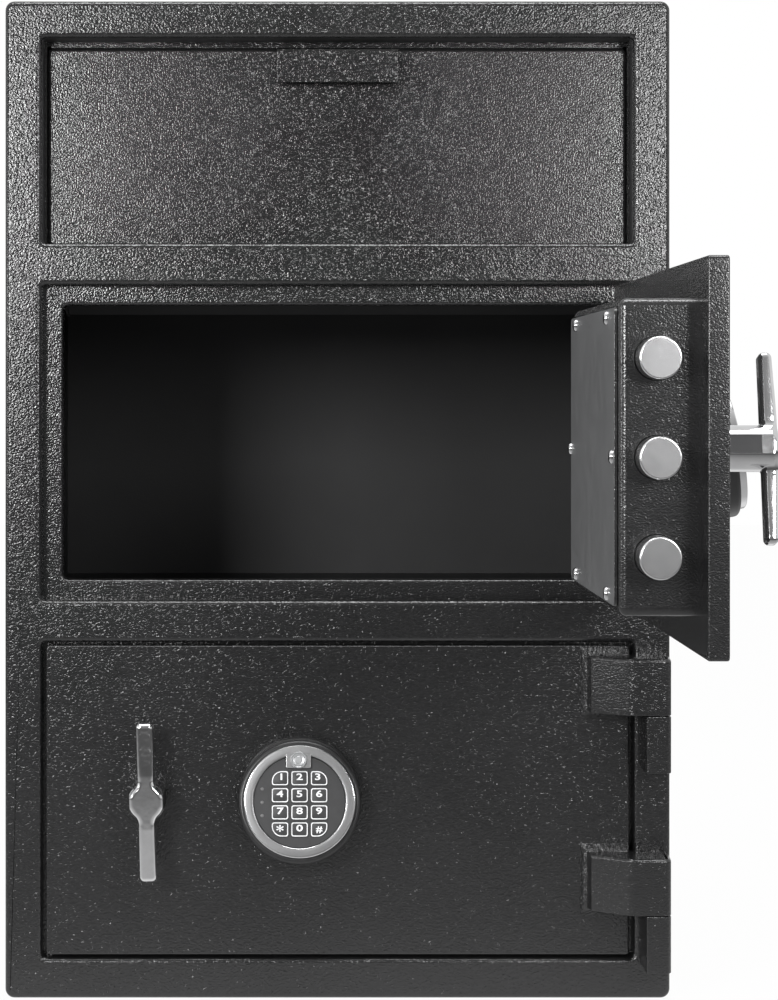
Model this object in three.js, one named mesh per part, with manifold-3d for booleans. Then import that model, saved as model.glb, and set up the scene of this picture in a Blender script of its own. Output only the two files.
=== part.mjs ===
// Drop safe with a tilt-out deposit hopper over two locked compartments.
// Millimetres, +Z up, front towards -Y, origin in the middle of the underside.

import * as THREE from 'three';
import { mergeVertices } from 'three/addons/utils/BufferGeometryUtils.js';
import Module from 'manifold-3d';

const wasm = await Module();
wasm.setup();

// Front frame: the stiles and rails round three openings, as seen from the front
const STILE_W = 28;
const OPENING_W = 452;
const DOOR_OPENING_H = 241;
const HOPPER_OPENING_H = 157;
const BOTTOM_RAIL_H = 31;
const MIDDLE_RAIL_H = 32;
const HOPPER_RAIL_H = 32;
const TOP_RAIL_H = 28;
const FRAME_T = 14;
const FRAME_EDGE_R = 4;
const OPENING_CORNER_R = 3;
const HOPPER_SURROUND_T = 3;
const HOPPER_SURROUND_D = 14;

// Body wrapper, back plate, shelf and floor anchor holes
const BODY_D = 508;
const BODY_WALL = 5;
const BACK_T = 5;
const BODY_CORNER_R = 7;
const SHELF_T = 5;
const ANCHOR_HOLE_D = 14;
const ANCHOR_INSET = 74;

// Jamb rings: the ledges that the doors close against and the bolts hook behind
const LEDGE_W = 15;
const JAMB_LAP = 12;
const JAMB_T = 11.5;
const JAMB_CORNER_R = 4;
const JAMB_EDGE_R = 2;

// Doors
const DOOR_T = 12.7;
const DOOR_SIDE_GAP = 3.5;
const DOOR_END_GAP = 2.5;
const DOOR_CORNER_R = 2.5;
const DOOR_EDGE_R = 1.2;

// Hinges: two lift-off pairs of welded blocks on each door
const HINGE_FROM_EDGE = 13.5;
const HINGE_OUT = 21;
const HINGE_BLOCK_OUT = 38;
const HINGE_HALF_H = 40;
const HINGE_TOP_FROM_END = 49.5;
const HINGE_BOTTOM_FROM_END = 36.5;
const HINGE_HALF_W = 9.5;
const HINGE_STRAP_LAP = 33.5;
const HINGE_STRAP_OUT = 17;
const HINGE_RISE_LAP = 3;
const HINGE_EDGE_R = 5.5;
const HINGE_LEFT_R = 1.5;
const HINGE_FOOT_R = 0.5;
const HINGE_HEEL_R = 6;
const HINGE_HEEL_GAP = 0.8;
const HINGE_RUN_GAP = 0.6;
const HINGE_PIN_D = 12;
const HINGE_PIN_L = 60;

// Lock box on the inside of each door
const BOX_FROM_EDGE = 25;
const BOX_L = 252;
const BOX_END_GAP = 11.5;
const BOX_DEPTH = 49;
const BOX_WALL = 2.5;
const BOX_FLANGE_W = 14;
const BOX_CORNER_R = 5.5;
const BOX_EDGE_R = 5;
const COVER_T = 2;
const COVER_INSET = 5.5;
const COVER_CORNER_R = 5;

// Boltwork
const BOLT_D = 25.4;
const BOLT_L = 81;
const BOLT_PITCH = 58.4;
const BOLT_DEPTH = 26.7;
const BOLT_THROW_OUT = 24;
const BOLT_CHAMFER = 1.3;
const GUIDE_T = 3;
const GUIDE_FROM_WALL = 25;
const CARRIAGE_T = 3.5;
const CARRIAGE_H = 152;
const CARRIAGE_REACH = 53;
const CARRIAGE_TAIL_H = 16;
const TAIL_OVER_LOCK = 4;
const TAIL_TO_BOLT = 2.4;

// Handle, spindle and crank; the crank pin drives the slot in the carriage
const HANDLE_FROM_EDGE = 78.5;
const HANDLE_UP = 4;
const HANDLE_OUT = 42;
const HANDLE_SIDE = [[6.5, 59.5], [6, 40], [6, 21], [8.6, 13.5], [12.2, 7.5], [13, 0]];
const HANDLE_ARM_T = 10;
const HANDLE_STEM_D = 28.5;
const HANDLE_ACROSS_FLATS = 26;
const HANDLE_ROUND = 2.2;
const HANDLE_DOME = 1;
const HANDLE_STEPS = 20;
const HANDLE_SWING = 90;
const SPINDLE_D = 12;
const SPINDLE_SOCKET = 15;
const CRANK_R = 15.6;
const CRANK_T = 5;
const CRANK_HUB_R = 12;
const CRANK_NOSE_R = 7;
const CRANK_FROM_PLATE = 3.5;
const CRANK_PIN_D = 7;
const CRANK_PIN_PAST = 1.8;

// Electronic lock: a body on the door's inside and a round keypad on its face
const KEYPAD_FROM_EDGE = 193.4;
const KEYPAD_UP = 3.2;
const LOCK_W = 61;
const LOCK_H = 85;
const LOCK_T = 33;
const LOCK_TOP_UP = 25;
const LOCK_BOLT_W = 25;
const LOCK_BOLT_T = 8;
const LOCK_BOLT_H = 17;
const LOCK_CORNER_R = 4;
const KEYPAD_D = 92.5;
const KEYPAD_TOP_OUT = 19.7;
const KEYPAD_BOTTOM_OUT = 37.1;
const KEYPAD_RIM = 8;
const KEYPAD_RIM_R = 3;
const KEYPAD_RIM_PAST = 0.75;
const RING_D = 84;
const RING_BORE_D = 69;
const RING_H = 4.6;
const RING_TAB_W = 18.7;
const RING_TAB_H = 12;
const RING_TAB_RISE = 0.6;
const RING_TAB_IN = 3.8;
const KEYMAT_T = 2.5;
const KEY_COLUMNS = 3;
const KEY_ROWS = 4;
const KEY_COLUMN_PITCH = 14.7;
const KEY_ROW_PITCH = 12.7;
const KEY_W = 12.8;
const KEY_H = 11;
const KEY_RISE = 1;
const KEY_CORNER_R = 2.6;
const KEYS_D = 56;
const CABLE_HOLE_D = 10;

// Hopper: a tilting panel with a V-shaped tray between two side plates
const HOPPER_SIDE_GAP = 2.5;
const HOPPER_TOP_GAP = 5;
const HOPPER_FOOT_LAP = 5;
const HOPPER_RECESS = 22;
const PANEL_T = 3;
const PANEL_RETURN = 24;
const PANEL_EDGE_R = 4;
const PANEL_CORNER_R = 4.5;
const PIVOT_UP = 14;
const PIVOT_IN = 11;
const HOPPER_ROD_D = 9;
const HOPPER_ROD_PAST = 3;
const TRAY_T = 2.5;
const TRAY_LEG = 36;
const TRAY_L = 136;
const TRAY_SLOPE = 20;
const SIDE_T = 2;
const SIDE_R = 136;
const SIDE_FROM_RETURN = 0.5;
const SIDE_STEPS = 14;
const PULL_W = 92.6;
const PULL_H = 26.5;
const PULL_OUT = 14;
const PULL_T = 3;
const PULL_LEG = 12;
const BRACKET_T = 3;
const BRACKET_H = 32;
const BRACKET_FOOT = 17;
const BRACKET_EAR = 34;
const BRACKET_FROM_PANEL = 7;

// Baffle behind the tray, so that nothing can be fished out over it
const BAFFLE_T = 2;
const BAFFLE_DROP = 100;
const BAFFLE_FLANGE = 25;
const BAFFLE_SIDE_GAP = 20;
const BAFFLE_FROM_SIDES = 5;
const TOOTH_PITCH = 25;
const TOOTH_H = 14;

// Clearances
const SEAT = 0.3;
const BOLT_FIT = 0.5;
const SHAFT_FIT = 0.4;
const PIN_FIT = 0.9;
const SLIDE_GAP = 1;
const SLOT_END_GAP = 0.6;

// The pose that the safe is built in
const UPPER_DOOR_OPEN = 90;
const UPPER_HANDLE_TURN = 13;
const LOWER_DOOR_OPEN = 0;
const LOWER_HANDLE_TURN = 0;

// Overall sizes that follow from the above
const BODY_W = OPENING_W + 2 * STILE_W;
const FRONT = -BODY_D / 2;
const LOWER_OPENING_Z = BOTTOM_RAIL_H;
const UPPER_OPENING_Z = LOWER_OPENING_Z + DOOR_OPENING_H + MIDDLE_RAIL_H;
const HOPPER_OPENING_Z = UPPER_OPENING_Z + DOOR_OPENING_H + HOPPER_RAIL_H;
const BODY_H = HOPPER_OPENING_Z + HOPPER_OPENING_H + TOP_RAIL_H;
const FRAME_BACK = FRONT + FRAME_T;
const BACK_INSIDE = BODY_D / 2 - BACK_T;
const DOOR_W = OPENING_W - 2 * DOOR_SIDE_GAP;
const DOOR_H = DOOR_OPENING_H - 2 * DOOR_END_GAP;
const DOOR_FREE_X = -DOOR_W / 2;
const HINGE_X = BODY_W / 2 - HINGE_FROM_EDGE;
const HINGE_SPLITS = {
  top: DOOR_H / 2 - HINGE_TOP_FROM_END,
  bottom: -DOOR_H / 2 + HINGE_BOTTOM_FROM_END,
};
const BOX_H = DOOR_OPENING_H - 2 * (LEDGE_W + BOX_END_GAP);
const PANEL_W = OPENING_W - 2 * HOPPER_SIDE_GAP;
const PANEL_H = HOPPER_OPENING_H - HOPPER_TOP_GAP + HOPPER_FOOT_LAP;

const blackTexture = new THREE.MeshStandardMaterial({ color: 0x2a2a2b, roughness: 0.5, metalness: 0.3 });
const blackSheet = new THREE.MeshStandardMaterial({ color: 0x303032, roughness: 0.5, metalness: 0.4 });
const satinCover = new THREE.MeshStandardMaterial({ color: 0x555557, roughness: 0.45, metalness: 0.5 });
const chrome = new THREE.MeshStandardMaterial({ color: 0xd4d5d7, roughness: 0.12, metalness: 1 });
const steel = new THREE.MeshStandardMaterial({ color: 0x9a9b9d, roughness: 0.35, metalness: 0.9 });
const zinc = new THREE.MeshStandardMaterial({ color: 0xa9a58f, roughness: 0.4, metalness: 0.85 });
const blackPlastic = new THREE.MeshStandardMaterial({ color: 0x161617, roughness: 0.35, metalness: 0 });
const keyRubber = new THREE.MeshStandardMaterial({ color: 0x1d1d1e, roughness: 0.7, metalness: 0 });

const radians = THREE.MathUtils.degToRad;

// Closed solids and the cuts and joins made on them
function closed(geometry) {
  const bare = geometry.clone();
  bare.deleteAttribute('normal');
  bare.deleteAttribute('uv');
  const merged = mergeVertices(bare, 1e-4);
  const corners = merged.index.array;
  const kept = [];
  for (let i = 0; i < corners.length; i += 3) {
    const [a, b, c] = [corners[i], corners[i + 1], corners[i + 2]];
    if (a !== b && b !== c && c !== a) kept.push(a, b, c);
  }
  merged.setIndex(kept);
  return merged;
}

function volumeOf(geometry) {
  const [a, b, c] = [new THREE.Vector3(), new THREE.Vector3(), new THREE.Vector3()];
  const { position } = geometry.attributes;
  const corners = geometry.index.array;
  let sum = 0;
  for (let i = 0; i < corners.length; i += 3) {
    a.fromBufferAttribute(position, corners[i]);
    b.fromBufferAttribute(position, corners[i + 1]);
    c.fromBufferAttribute(position, corners[i + 2]);
    sum += a.dot(b.cross(c)) / 6;
  }
  return sum;
}

function outward(geometry) {
  const shell = closed(geometry);
  if (volumeOf(shell) > 0) return shell;
  shell.setIndex([...shell.index.array].reverse());
  return shell;
}

function solidOf(geometry) {
  const shell = outward(geometry);
  return new wasm.Manifold(new wasm.Mesh({
    numProp: 3,
    vertProperties: Float32Array.from(shell.attributes.position.array),
    triVerts: Uint32Array.from(shell.index.array),
  }));
}

function geometryOf(solid) {
  const mesh = solid.getMesh();
  const geometry = new THREE.BufferGeometry();
  geometry.setAttribute('position', new THREE.BufferAttribute(Float32Array.from(mesh.vertProperties), 3));
  geometry.setIndex([...mesh.triVerts]);
  return geometry;
}

function cut(blank, ...tools) {
  return geometryOf(tools.reduce((solid, tool) => solid.subtract(solidOf(tool)), solidOf(blank)));
}

function join(first, ...others) {
  return geometryOf(others.reduce((solid, other) => solid.add(solidOf(other)), solidOf(first)));
}

function common(first, second) {
  return geometryOf(solidOf(first).intersect(solidOf(second)));
}

// Stock shapes, placed by their limits along the axes
function block([x0, x1], [y0, y1], [z0, z1]) {
  const box = new THREE.BoxGeometry(x1 - x0, y1 - y0, z1 - z0);
  return box.translate((x0 + x1) / 2, (y0 + y1) / 2, (z0 + z1) / 2);
}

function rodX(diameter, [x0, x1], y, z, sides = 24) {
  const rod = new THREE.CylinderGeometry(diameter / 2, diameter / 2, x1 - x0, sides);
  return rod.rotateZ(Math.PI / 2).translate((x0 + x1) / 2, y, z);
}

function rodY(diameter, [y0, y1], x, z, sides = 24) {
  const rod = new THREE.CylinderGeometry(diameter / 2, diameter / 2, y1 - y0, sides);
  return rod.translate(x, (y0 + y1) / 2, z);
}

function rodZ(diameter, [z0, z1], x, y, sides = 24) {
  const rod = new THREE.CylinderGeometry(diameter / 2, diameter / 2, z1 - z0, sides);
  return rod.rotateX(Math.PI / 2).translate(x, y, (z0 + z1) / 2);
}

// Outlines: a rectangle with round corners, and a strip of sheet bent along points
function traceRectangle(path, [x0, x1], [y0, y1], r) {
  path.moveTo(x0 + r, y0);
  path.lineTo(x1 - r, y0);
  path.absarc(x1 - r, y0 + r, r, -Math.PI / 2, 0);
  path.lineTo(x1, y1 - r);
  path.absarc(x1 - r, y1 - r, r, 0, Math.PI / 2);
  path.lineTo(x0 + r, y1);
  path.absarc(x0 + r, y1 - r, r, Math.PI / 2, Math.PI);
  path.lineTo(x0, y0 + r);
  path.absarc(x0 + r, y0 + r, r, Math.PI, 1.5 * Math.PI);
  return path;
}

function rectangle(spanX, spanY, r, holes = []) {
  const shape = traceRectangle(new THREE.Shape(), spanX, spanY, r);
  shape.holes = holes.map((hole) => traceRectangle(new THREE.Path(), hole.x, hole.y, hole.r));
  return shape;
}

function bentStrip(points, thickness) {
  const line = points.map(([x, y]) => new THREE.Vector2(x, y));
  const centre = new THREE.Vector2();
  const normalAt = (i) => line[i + 1].clone().sub(line[i]).normalize().rotateAround(centre, Math.PI / 2);
  const offset = line.map((point, i) => {
    const before = normalAt(Math.max(i - 1, 0));
    const after = normalAt(Math.min(i, line.length - 2));
    const reach = thickness / 2 / (1 + before.dot(after));
    return before.add(after).multiplyScalar(reach);
  });
  const left = line.map((point, i) => point.clone().add(offset[i]));
  const right = line.map((point, i) => point.clone().sub(offset[i]));
  return new THREE.Shape([...left, ...right.reverse()]);
}

// Extrusions of an outline: drawn in YZ along X, in XZ towards the front, or in XY upwards
const outlineToYZ = new THREE.Matrix4().makeBasis(
  new THREE.Vector3(0, 1, 0), new THREE.Vector3(0, 0, 1), new THREE.Vector3(1, 0, 0));
const outlineToXZ = new THREE.Matrix4().makeBasis(
  new THREE.Vector3(1, 0, 0), new THREE.Vector3(0, 0, 1), new THREE.Vector3(0, -1, 0));

function extrude(shape, depth, arcSteps = 2) {
  return new THREE.ExtrudeGeometry(shape, { depth, bevelEnabled: false, curveSegments: arcSteps });
}

function alongX(shape, [x0, x1], arcSteps) {
  return extrude(shape, x1 - x0, arcSteps).applyMatrix4(outlineToYZ).translate(x0, 0, 0);
}

function alongY(shape, [y0, y1], arcSteps) {
  return extrude(shape, y1 - y0, arcSteps).applyMatrix4(outlineToXZ).translate(0, y1, 0);
}

function alongZ(shape, [z0, z1], arcSteps) {
  return extrude(shape, z1 - z0, arcSteps).translate(0, 0, z0);
}

// A plate between y0 and y1 whose edges are rounded on its y0 side, or on its y1 side
function roundedPlate(shape, [y0, y1], edgeR, roundSide = 'front', arcSteps = 2) {
  const depth = y1 - y0;
  const both = new THREE.ExtrudeGeometry(shape, {
    depth,
    curveSegments: arcSteps,
    bevelEnabled: true,
    bevelThickness: edgeR,
    bevelSize: edgeR,
    bevelOffset: -edgeR,
    bevelSegments: 2,
  });
  both.computeBoundingBox();
  const { min, max } = both.boundingBox;
  const waste = block([min.x - 1, max.x + 1], [min.y - 1, max.y + 1], [min.z - 1, edgeR]);
  const plate = cut(both, waste).translate(0, 0, -edgeR).applyMatrix4(outlineToXZ);
  if (roundSide === 'front') return plate.translate(0, y1, 0);
  return plate.scale(1, -1, 1).translate(0, y0, 0);
}

function revolve(points, sides) {
  return new THREE.LatheGeometry(points.map(([r, y]) => new THREE.Vector2(r, y)), sides);
}

function arcPoints(centreR, centreY, radius, fromDeg, toDeg, steps) {
  return Array.from({ length: steps + 1 }, (_, i) => {
    const angle = radians(fromDeg + ((toDeg - fromDeg) * i) / steps);
    return [centreR + radius * Math.cos(angle), centreY + radius * Math.sin(angle)];
  });
}

function add(group, name, geometry, material) {
  const mesh = new THREE.Mesh(outward(geometry), material);
  mesh.name = name;
  group.add(mesh);
  return mesh;
}

const safe = new THREE.Group();

// Front frame: one plate with three openings, its front edges rounded, and a thin surround
// behind the hopper's opening at both sides and along the top
const openings = [
  [LOWER_OPENING_Z, LOWER_OPENING_Z + DOOR_OPENING_H],
  [UPPER_OPENING_Z, UPPER_OPENING_Z + DOOR_OPENING_H],
  [HOPPER_OPENING_Z, HOPPER_OPENING_Z + HOPPER_OPENING_H],
];
const openingSpan = [-OPENING_W / 2, OPENING_W / 2];
const bodySpan = [-BODY_W / 2, BODY_W / 2];
const frameOutline = rectangle(bodySpan, [0, BODY_H], BODY_CORNER_R,
  openings.map((span) => ({ x: openingSpan, y: span, r: OPENING_CORNER_R })));
const surroundY = [FRAME_BACK - HOPPER_SURROUND_T, FRAME_BACK + HOPPER_SURROUND_D];
const surroundTop = HOPPER_OPENING_Z + HOPPER_OPENING_H;
const surroundSides = [-1, 1].map((side) => block(
  [side * OPENING_W / 2, side * (OPENING_W / 2 + HOPPER_SURROUND_T)].sort((a, b) => a - b),
  surroundY, [HOPPER_OPENING_Z, surroundTop + HOPPER_SURROUND_T]));
const surroundHead = block(openingSpan, surroundY, [surroundTop, surroundTop + HOPPER_SURROUND_T]);
add(safe, 'front_frame', join(
  roundedPlate(frameOutline, [FRONT, FRAME_BACK], FRAME_EDGE_R), ...surroundSides, surroundHead), blackTexture);

// Body wrapper: sides, top and floor bent from one sheet, with the anchor holes in the floor
const wrapperInside = {
  x: [-BODY_W / 2 + BODY_WALL, BODY_W / 2 - BODY_WALL],
  y: [BODY_WALL, BODY_H - BODY_WALL],
  r: Math.max(BODY_CORNER_R - BODY_WALL, 1),
};
const wrapperOutline = rectangle(bodySpan, [0, BODY_H], BODY_CORNER_R, [wrapperInside]);
const anchorHoles = [-1, 1].flatMap((sideX) => [-1, 1].map((sideY) => rodZ(
  ANCHOR_HOLE_D, [-1, BODY_WALL + 1],
  sideX * (BODY_W / 2 - ANCHOR_INSET), sideY * (BODY_D / 2 - ANCHOR_INSET), 16)));
const wrapper = alongY(wrapperOutline, [FRAME_BACK + SEAT, BACK_INSIDE - SEAT]);
add(safe, 'body_wrapper', cut(wrapper, ...anchorHoles), blackTexture);
add(safe, 'back_plate', alongY(rectangle(bodySpan, [0, BODY_H], BODY_CORNER_R), [BACK_INSIDE, BODY_D / 2]),
  blackTexture);

// Jamb rings, welded behind the frame round each door opening
function jambRing(name, openingZ) {
  const lap = JAMB_LAP;
  const ledge = {
    x: [openingSpan[0] + LEDGE_W, openingSpan[1] - LEDGE_W],
    y: [openingZ + LEDGE_W, openingZ + DOOR_OPENING_H - LEDGE_W],
    r: JAMB_CORNER_R,
  };
  const outline = rectangle([openingSpan[0] - lap, openingSpan[1] + lap],
    [openingZ - lap, openingZ + DOOR_OPENING_H + lap], JAMB_CORNER_R, [ledge]);
  const front = FRAME_BACK + SEAT;
  add(safe, name, roundedPlate(outline, [front, front + JAMB_T], JAMB_EDGE_R), blackTexture);
}
jambRing('lower_jamb', LOWER_OPENING_Z);
jambRing('upper_jamb', UPPER_OPENING_Z);

// Shelf between the two compartments, level with the rail between the doors
const shelfMiddle = (LOWER_OPENING_Z + DOOR_OPENING_H + UPPER_OPENING_Z) / 2;
const insideX = BODY_W / 2 - BODY_WALL - SEAT;
add(safe, 'divider_shelf', block([-insideX, insideX], [FRAME_BACK + SEAT, BACK_INSIDE - SEAT],
  [shelfMiddle - SHELF_T / 2, shelfMiddle + SHELF_T / 2]), blackSheet);

// Hopper, built round its pivot at the foot of the panel
const pivotY = FRONT + HOPPER_RECESS + PIVOT_IN;
const pivotZ = HOPPER_OPENING_Z - HOPPER_FOOT_LAP + PIVOT_UP;
const hopper = new THREE.Group();
hopper.position.set(0, pivotY, pivotZ);
safe.add(hopper);

// Panel: a pan with rounded front edges and returns at both sides and the top
const panelFront = -PIVOT_IN;
const panelBack = panelFront + PANEL_T;
const panelSpan = [-PANEL_W / 2, PANEL_W / 2];
const panelTop = PANEL_H - PIVOT_UP;
const panelBlank = roundedPlate(rectangle(panelSpan, [-PIVOT_UP, panelTop], PANEL_CORNER_R),
  [panelFront, panelFront + PANEL_RETURN], PANEL_EDGE_R);
const panelHollow = block([panelSpan[0] + PANEL_T, panelSpan[1] - PANEL_T],
  [panelBack, panelFront + PANEL_RETURN + 1], [-PIVOT_UP - 1, panelTop - PANEL_T]);
const rodPassage = rodX(HOPPER_ROD_D + 2 * SHAFT_FIT, [-BODY_W, BODY_W], 0, 0, 24);
add(hopper, 'hopper_panel', cut(panelBlank, panelHollow, rodPassage), blackTexture);

// Pull: a channel with its rear leg welded to the panel and room for fingers behind its lip
const lipY = panelFront - PULL_OUT + PULL_T / 2;
const legY = panelFront - SEAT - PULL_T / 2;
const webZ = panelTop - PULL_T / 2;
const pullProfile = bentStrip(
  [[lipY, panelTop - PULL_H], [lipY, webZ], [legY, webZ], [legY, panelTop - PULL_LEG]], PULL_T);
add(hopper, 'hopper_pull', alongX(pullProfile, [-PULL_W / 2, PULL_W / 2]), blackTexture);

// Side plates: sectors from the panel round to the tray
const sideInner = PANEL_W / 2 - PANEL_T - SIDE_FROM_RETURN - SIDE_T;
const traySlope = radians(TRAY_SLOPE);
const trayFrontY = panelBack + SEAT + TRAY_T / 2;
const trayBendZ = -PIVOT_UP + TRAY_T;
const trayEnd = [
  trayFrontY + TRAY_L * Math.cos(traySlope),
  trayBendZ - TRAY_L * Math.sin(traySlope),
];
const sideOutline = new THREE.Shape();
const sideFoot = -PIVOT_UP - TRAY_T / 2;
const sideEndAngle = Math.atan2(trayEnd[1] - TRAY_T, trayEnd[0]);
sideOutline.moveTo(panelBack + SEAT, sideFoot);
sideOutline.lineTo(SIDE_R * Math.cos(sideEndAngle), SIDE_R * Math.sin(sideEndAngle));
sideOutline.absarc(0, 0, SIDE_R, sideEndAngle, Math.PI / 2);
sideOutline.lineTo(panelBack + SEAT, SIDE_R);
for (const [name, side] of [['hopper_side_left', -1], ['hopper_side_right', 1]]) {
  const span = side < 0 ? [-sideInner - SIDE_T, -sideInner] : [sideInner, sideInner + SIDE_T];
  add(hopper, name, cut(alongX(sideOutline, span, SIDE_STEPS), rodPassage), blackSheet);
}

// Tray: one sheet with a short leg up the panel's back and a floor that slopes down inwards
const trayProfile = bentStrip([[trayFrontY, trayBendZ + TRAY_LEG], [trayFrontY, trayBendZ], trayEnd], TRAY_T);
add(hopper, 'hopper_tray', alongX(trayProfile, [-sideInner + SEAT, sideInner - SEAT]), blackSheet);

// Pivot rod through the side plates, carried by a bracket behind each stile
const bracketX = PANEL_W / 2 + BRACKET_FROM_PANEL;
const rodReach = bracketX + BRACKET_T + HOPPER_ROD_PAST;
add(hopper, 'hopper_rod', rodX(HOPPER_ROD_D, [-rodReach, rodReach], 0, 0, 24), steel);
const bracketFoot = FRAME_BACK + SEAT + BRACKET_T / 2;
for (const [name, side] of [['hopper_bracket_left', -1], ['hopper_bracket_right', 1]]) {
  const earX = side * (bracketX + BRACKET_T / 2);
  const profile = bentStrip([
    [earX + side * BRACKET_FOOT, bracketFoot],
    [earX, bracketFoot],
    [earX, bracketFoot + BRACKET_EAR],
  ], BRACKET_T);
  const bracket = alongZ(profile, [pivotZ - BRACKET_H / 2, pivotZ + BRACKET_H / 2]);
  const hole = rodX(HOPPER_ROD_D + 2 * SHAFT_FIT, [-BODY_W, BODY_W], pivotY, pivotZ, 24);
  add(safe, name, cut(bracket, hole), blackSheet);
}

// Baffle: a sheet hung from the roof behind the tray, with a saw-tooth lower edge
const baffleY = pivotY + SIDE_R + BAFFLE_FROM_SIDES;
const roof = BODY_H - BODY_WALL - SEAT;
const baffleHalf = BODY_W / 2 - BODY_WALL - BAFFLE_SIDE_GAP;
const toothCount = Math.max(2, Math.round((2 * baffleHalf) / TOOTH_PITCH));
const toothW = (2 * baffleHalf) / toothCount;
const baffleOutline = new THREE.Shape();
baffleOutline.moveTo(baffleHalf, roof);
baffleOutline.lineTo(-baffleHalf, roof);
baffleOutline.lineTo(-baffleHalf, roof - BAFFLE_DROP + TOOTH_H);
for (let i = 0; i < toothCount; i += 1) {
  const left = -baffleHalf + i * toothW;
  baffleOutline.lineTo(left + toothW / 2, roof - BAFFLE_DROP);
  baffleOutline.lineTo(left + toothW, roof - BAFFLE_DROP + TOOTH_H);
}
const baffleSheet = alongY(baffleOutline, [baffleY, baffleY + BAFFLE_T]);
const baffleFlange = block([-baffleHalf, baffleHalf], [baffleY, baffleY + BAFFLE_FLANGE],
  [roof - BAFFLE_T, roof]);
add(safe, 'hopper_baffle', join(baffleSheet, baffleFlange), blackSheet);

// Hinge blocks, drawn from above: y is counted from the door's face, outwards is negative
const pinClear = HINGE_PIN_D + 2 * SHAFT_FIT;
const pinHalf = HINGE_PIN_L / 2;

function hingeOutline(leftX, leftOut, riseX) {
  const rightX = HINGE_X + HINGE_HALF_W;
  const outer = -HINGE_BLOCK_OUT;
  const heelY = -SEAT;
  const heelR = HINGE_FOOT_R;
  const outline = new THREE.Shape();
  outline.moveTo(leftX, heelY);
  outline.lineTo(leftX, HINGE_LEFT_R - leftOut);
  outline.absarc(leftX + HINGE_LEFT_R, HINGE_LEFT_R - leftOut, HINGE_LEFT_R, Math.PI, 1.5 * Math.PI);
  if (riseX > leftX) outline.lineTo(riseX, outer);
  outline.lineTo(rightX - HINGE_EDGE_R, outer);
  outline.absarc(rightX - HINGE_EDGE_R, outer + HINGE_EDGE_R, HINGE_EDGE_R, -Math.PI / 2, 0);
  outline.lineTo(rightX, heelY - heelR);
  outline.absarc(rightX - heelR, heelY - heelR, heelR, 0, Math.PI / 2);
  return outline;
}

function hingePinBore(split, up) {
  const depth = pinHalf + SEAT;
  const span = up ? [split - 1, split + depth] : [split - depth, split + 1];
  return rodZ(pinClear, span, HINGE_X, -HINGE_OUT, 24);
}

function bodyHinges(door, centreZ) {
  for (const [place, offset] of Object.entries(HINGE_SPLITS)) {
    const half = alongZ(hingeOutline(HINGE_X - HINGE_HALF_W, HINGE_BLOCK_OUT, HINGE_X - HINGE_HALF_W),
      [offset - HINGE_HALF_H, offset - HINGE_RUN_GAP / 2]);
    const base = cut(half, hingePinBore(offset, false)).translate(0, FRONT, centreZ);
    add(safe, `${door}_hinge_base_${place}`, base, blackTexture);
    const pin = rodZ(HINGE_PIN_D, [offset - pinHalf, offset + pinHalf], HINGE_X, -HINGE_OUT, 24);
    add(safe, `${door}_hinge_pin_${place}`, pin.translate(0, FRONT, centreZ), steel);
  }
}

// The door-side half of a hinge: a strap on the door's face that rises to the upper knuckle
function hingeLeaf(offset) {
  const strap = hingeOutline(DOOR_W / 2 - HINGE_STRAP_LAP, HINGE_STRAP_OUT, DOOR_W / 2 - HINGE_RISE_LAP);
  const leaf = alongZ(strap, [offset + HINGE_RUN_GAP / 2, offset + HINGE_HALF_H]);
  const rightX = HINGE_X + HINGE_HALF_W;
  const heelRelief = new THREE.Shape();
  heelRelief.moveTo(DOOR_W / 2, 1);
  heelRelief.lineTo(DOOR_W / 2, -HINGE_HEEL_GAP);
  heelRelief.lineTo(rightX - HINGE_HEEL_R, -HINGE_HEEL_GAP);
  heelRelief.absarc(rightX - HINGE_HEEL_R, -HINGE_HEEL_GAP - HINGE_HEEL_R, HINGE_HEEL_R, Math.PI / 2, 0, true);
  heelRelief.lineTo(rightX + 1, -HINGE_HEEL_GAP - HINGE_HEEL_R);
  heelRelief.lineTo(rightX + 1, 1);
  const relief = alongZ(heelRelief, [offset - 1, offset + HINGE_HALF_H + 1]);
  return cut(leaf, relief, hingePinBore(offset, true));
}

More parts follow.
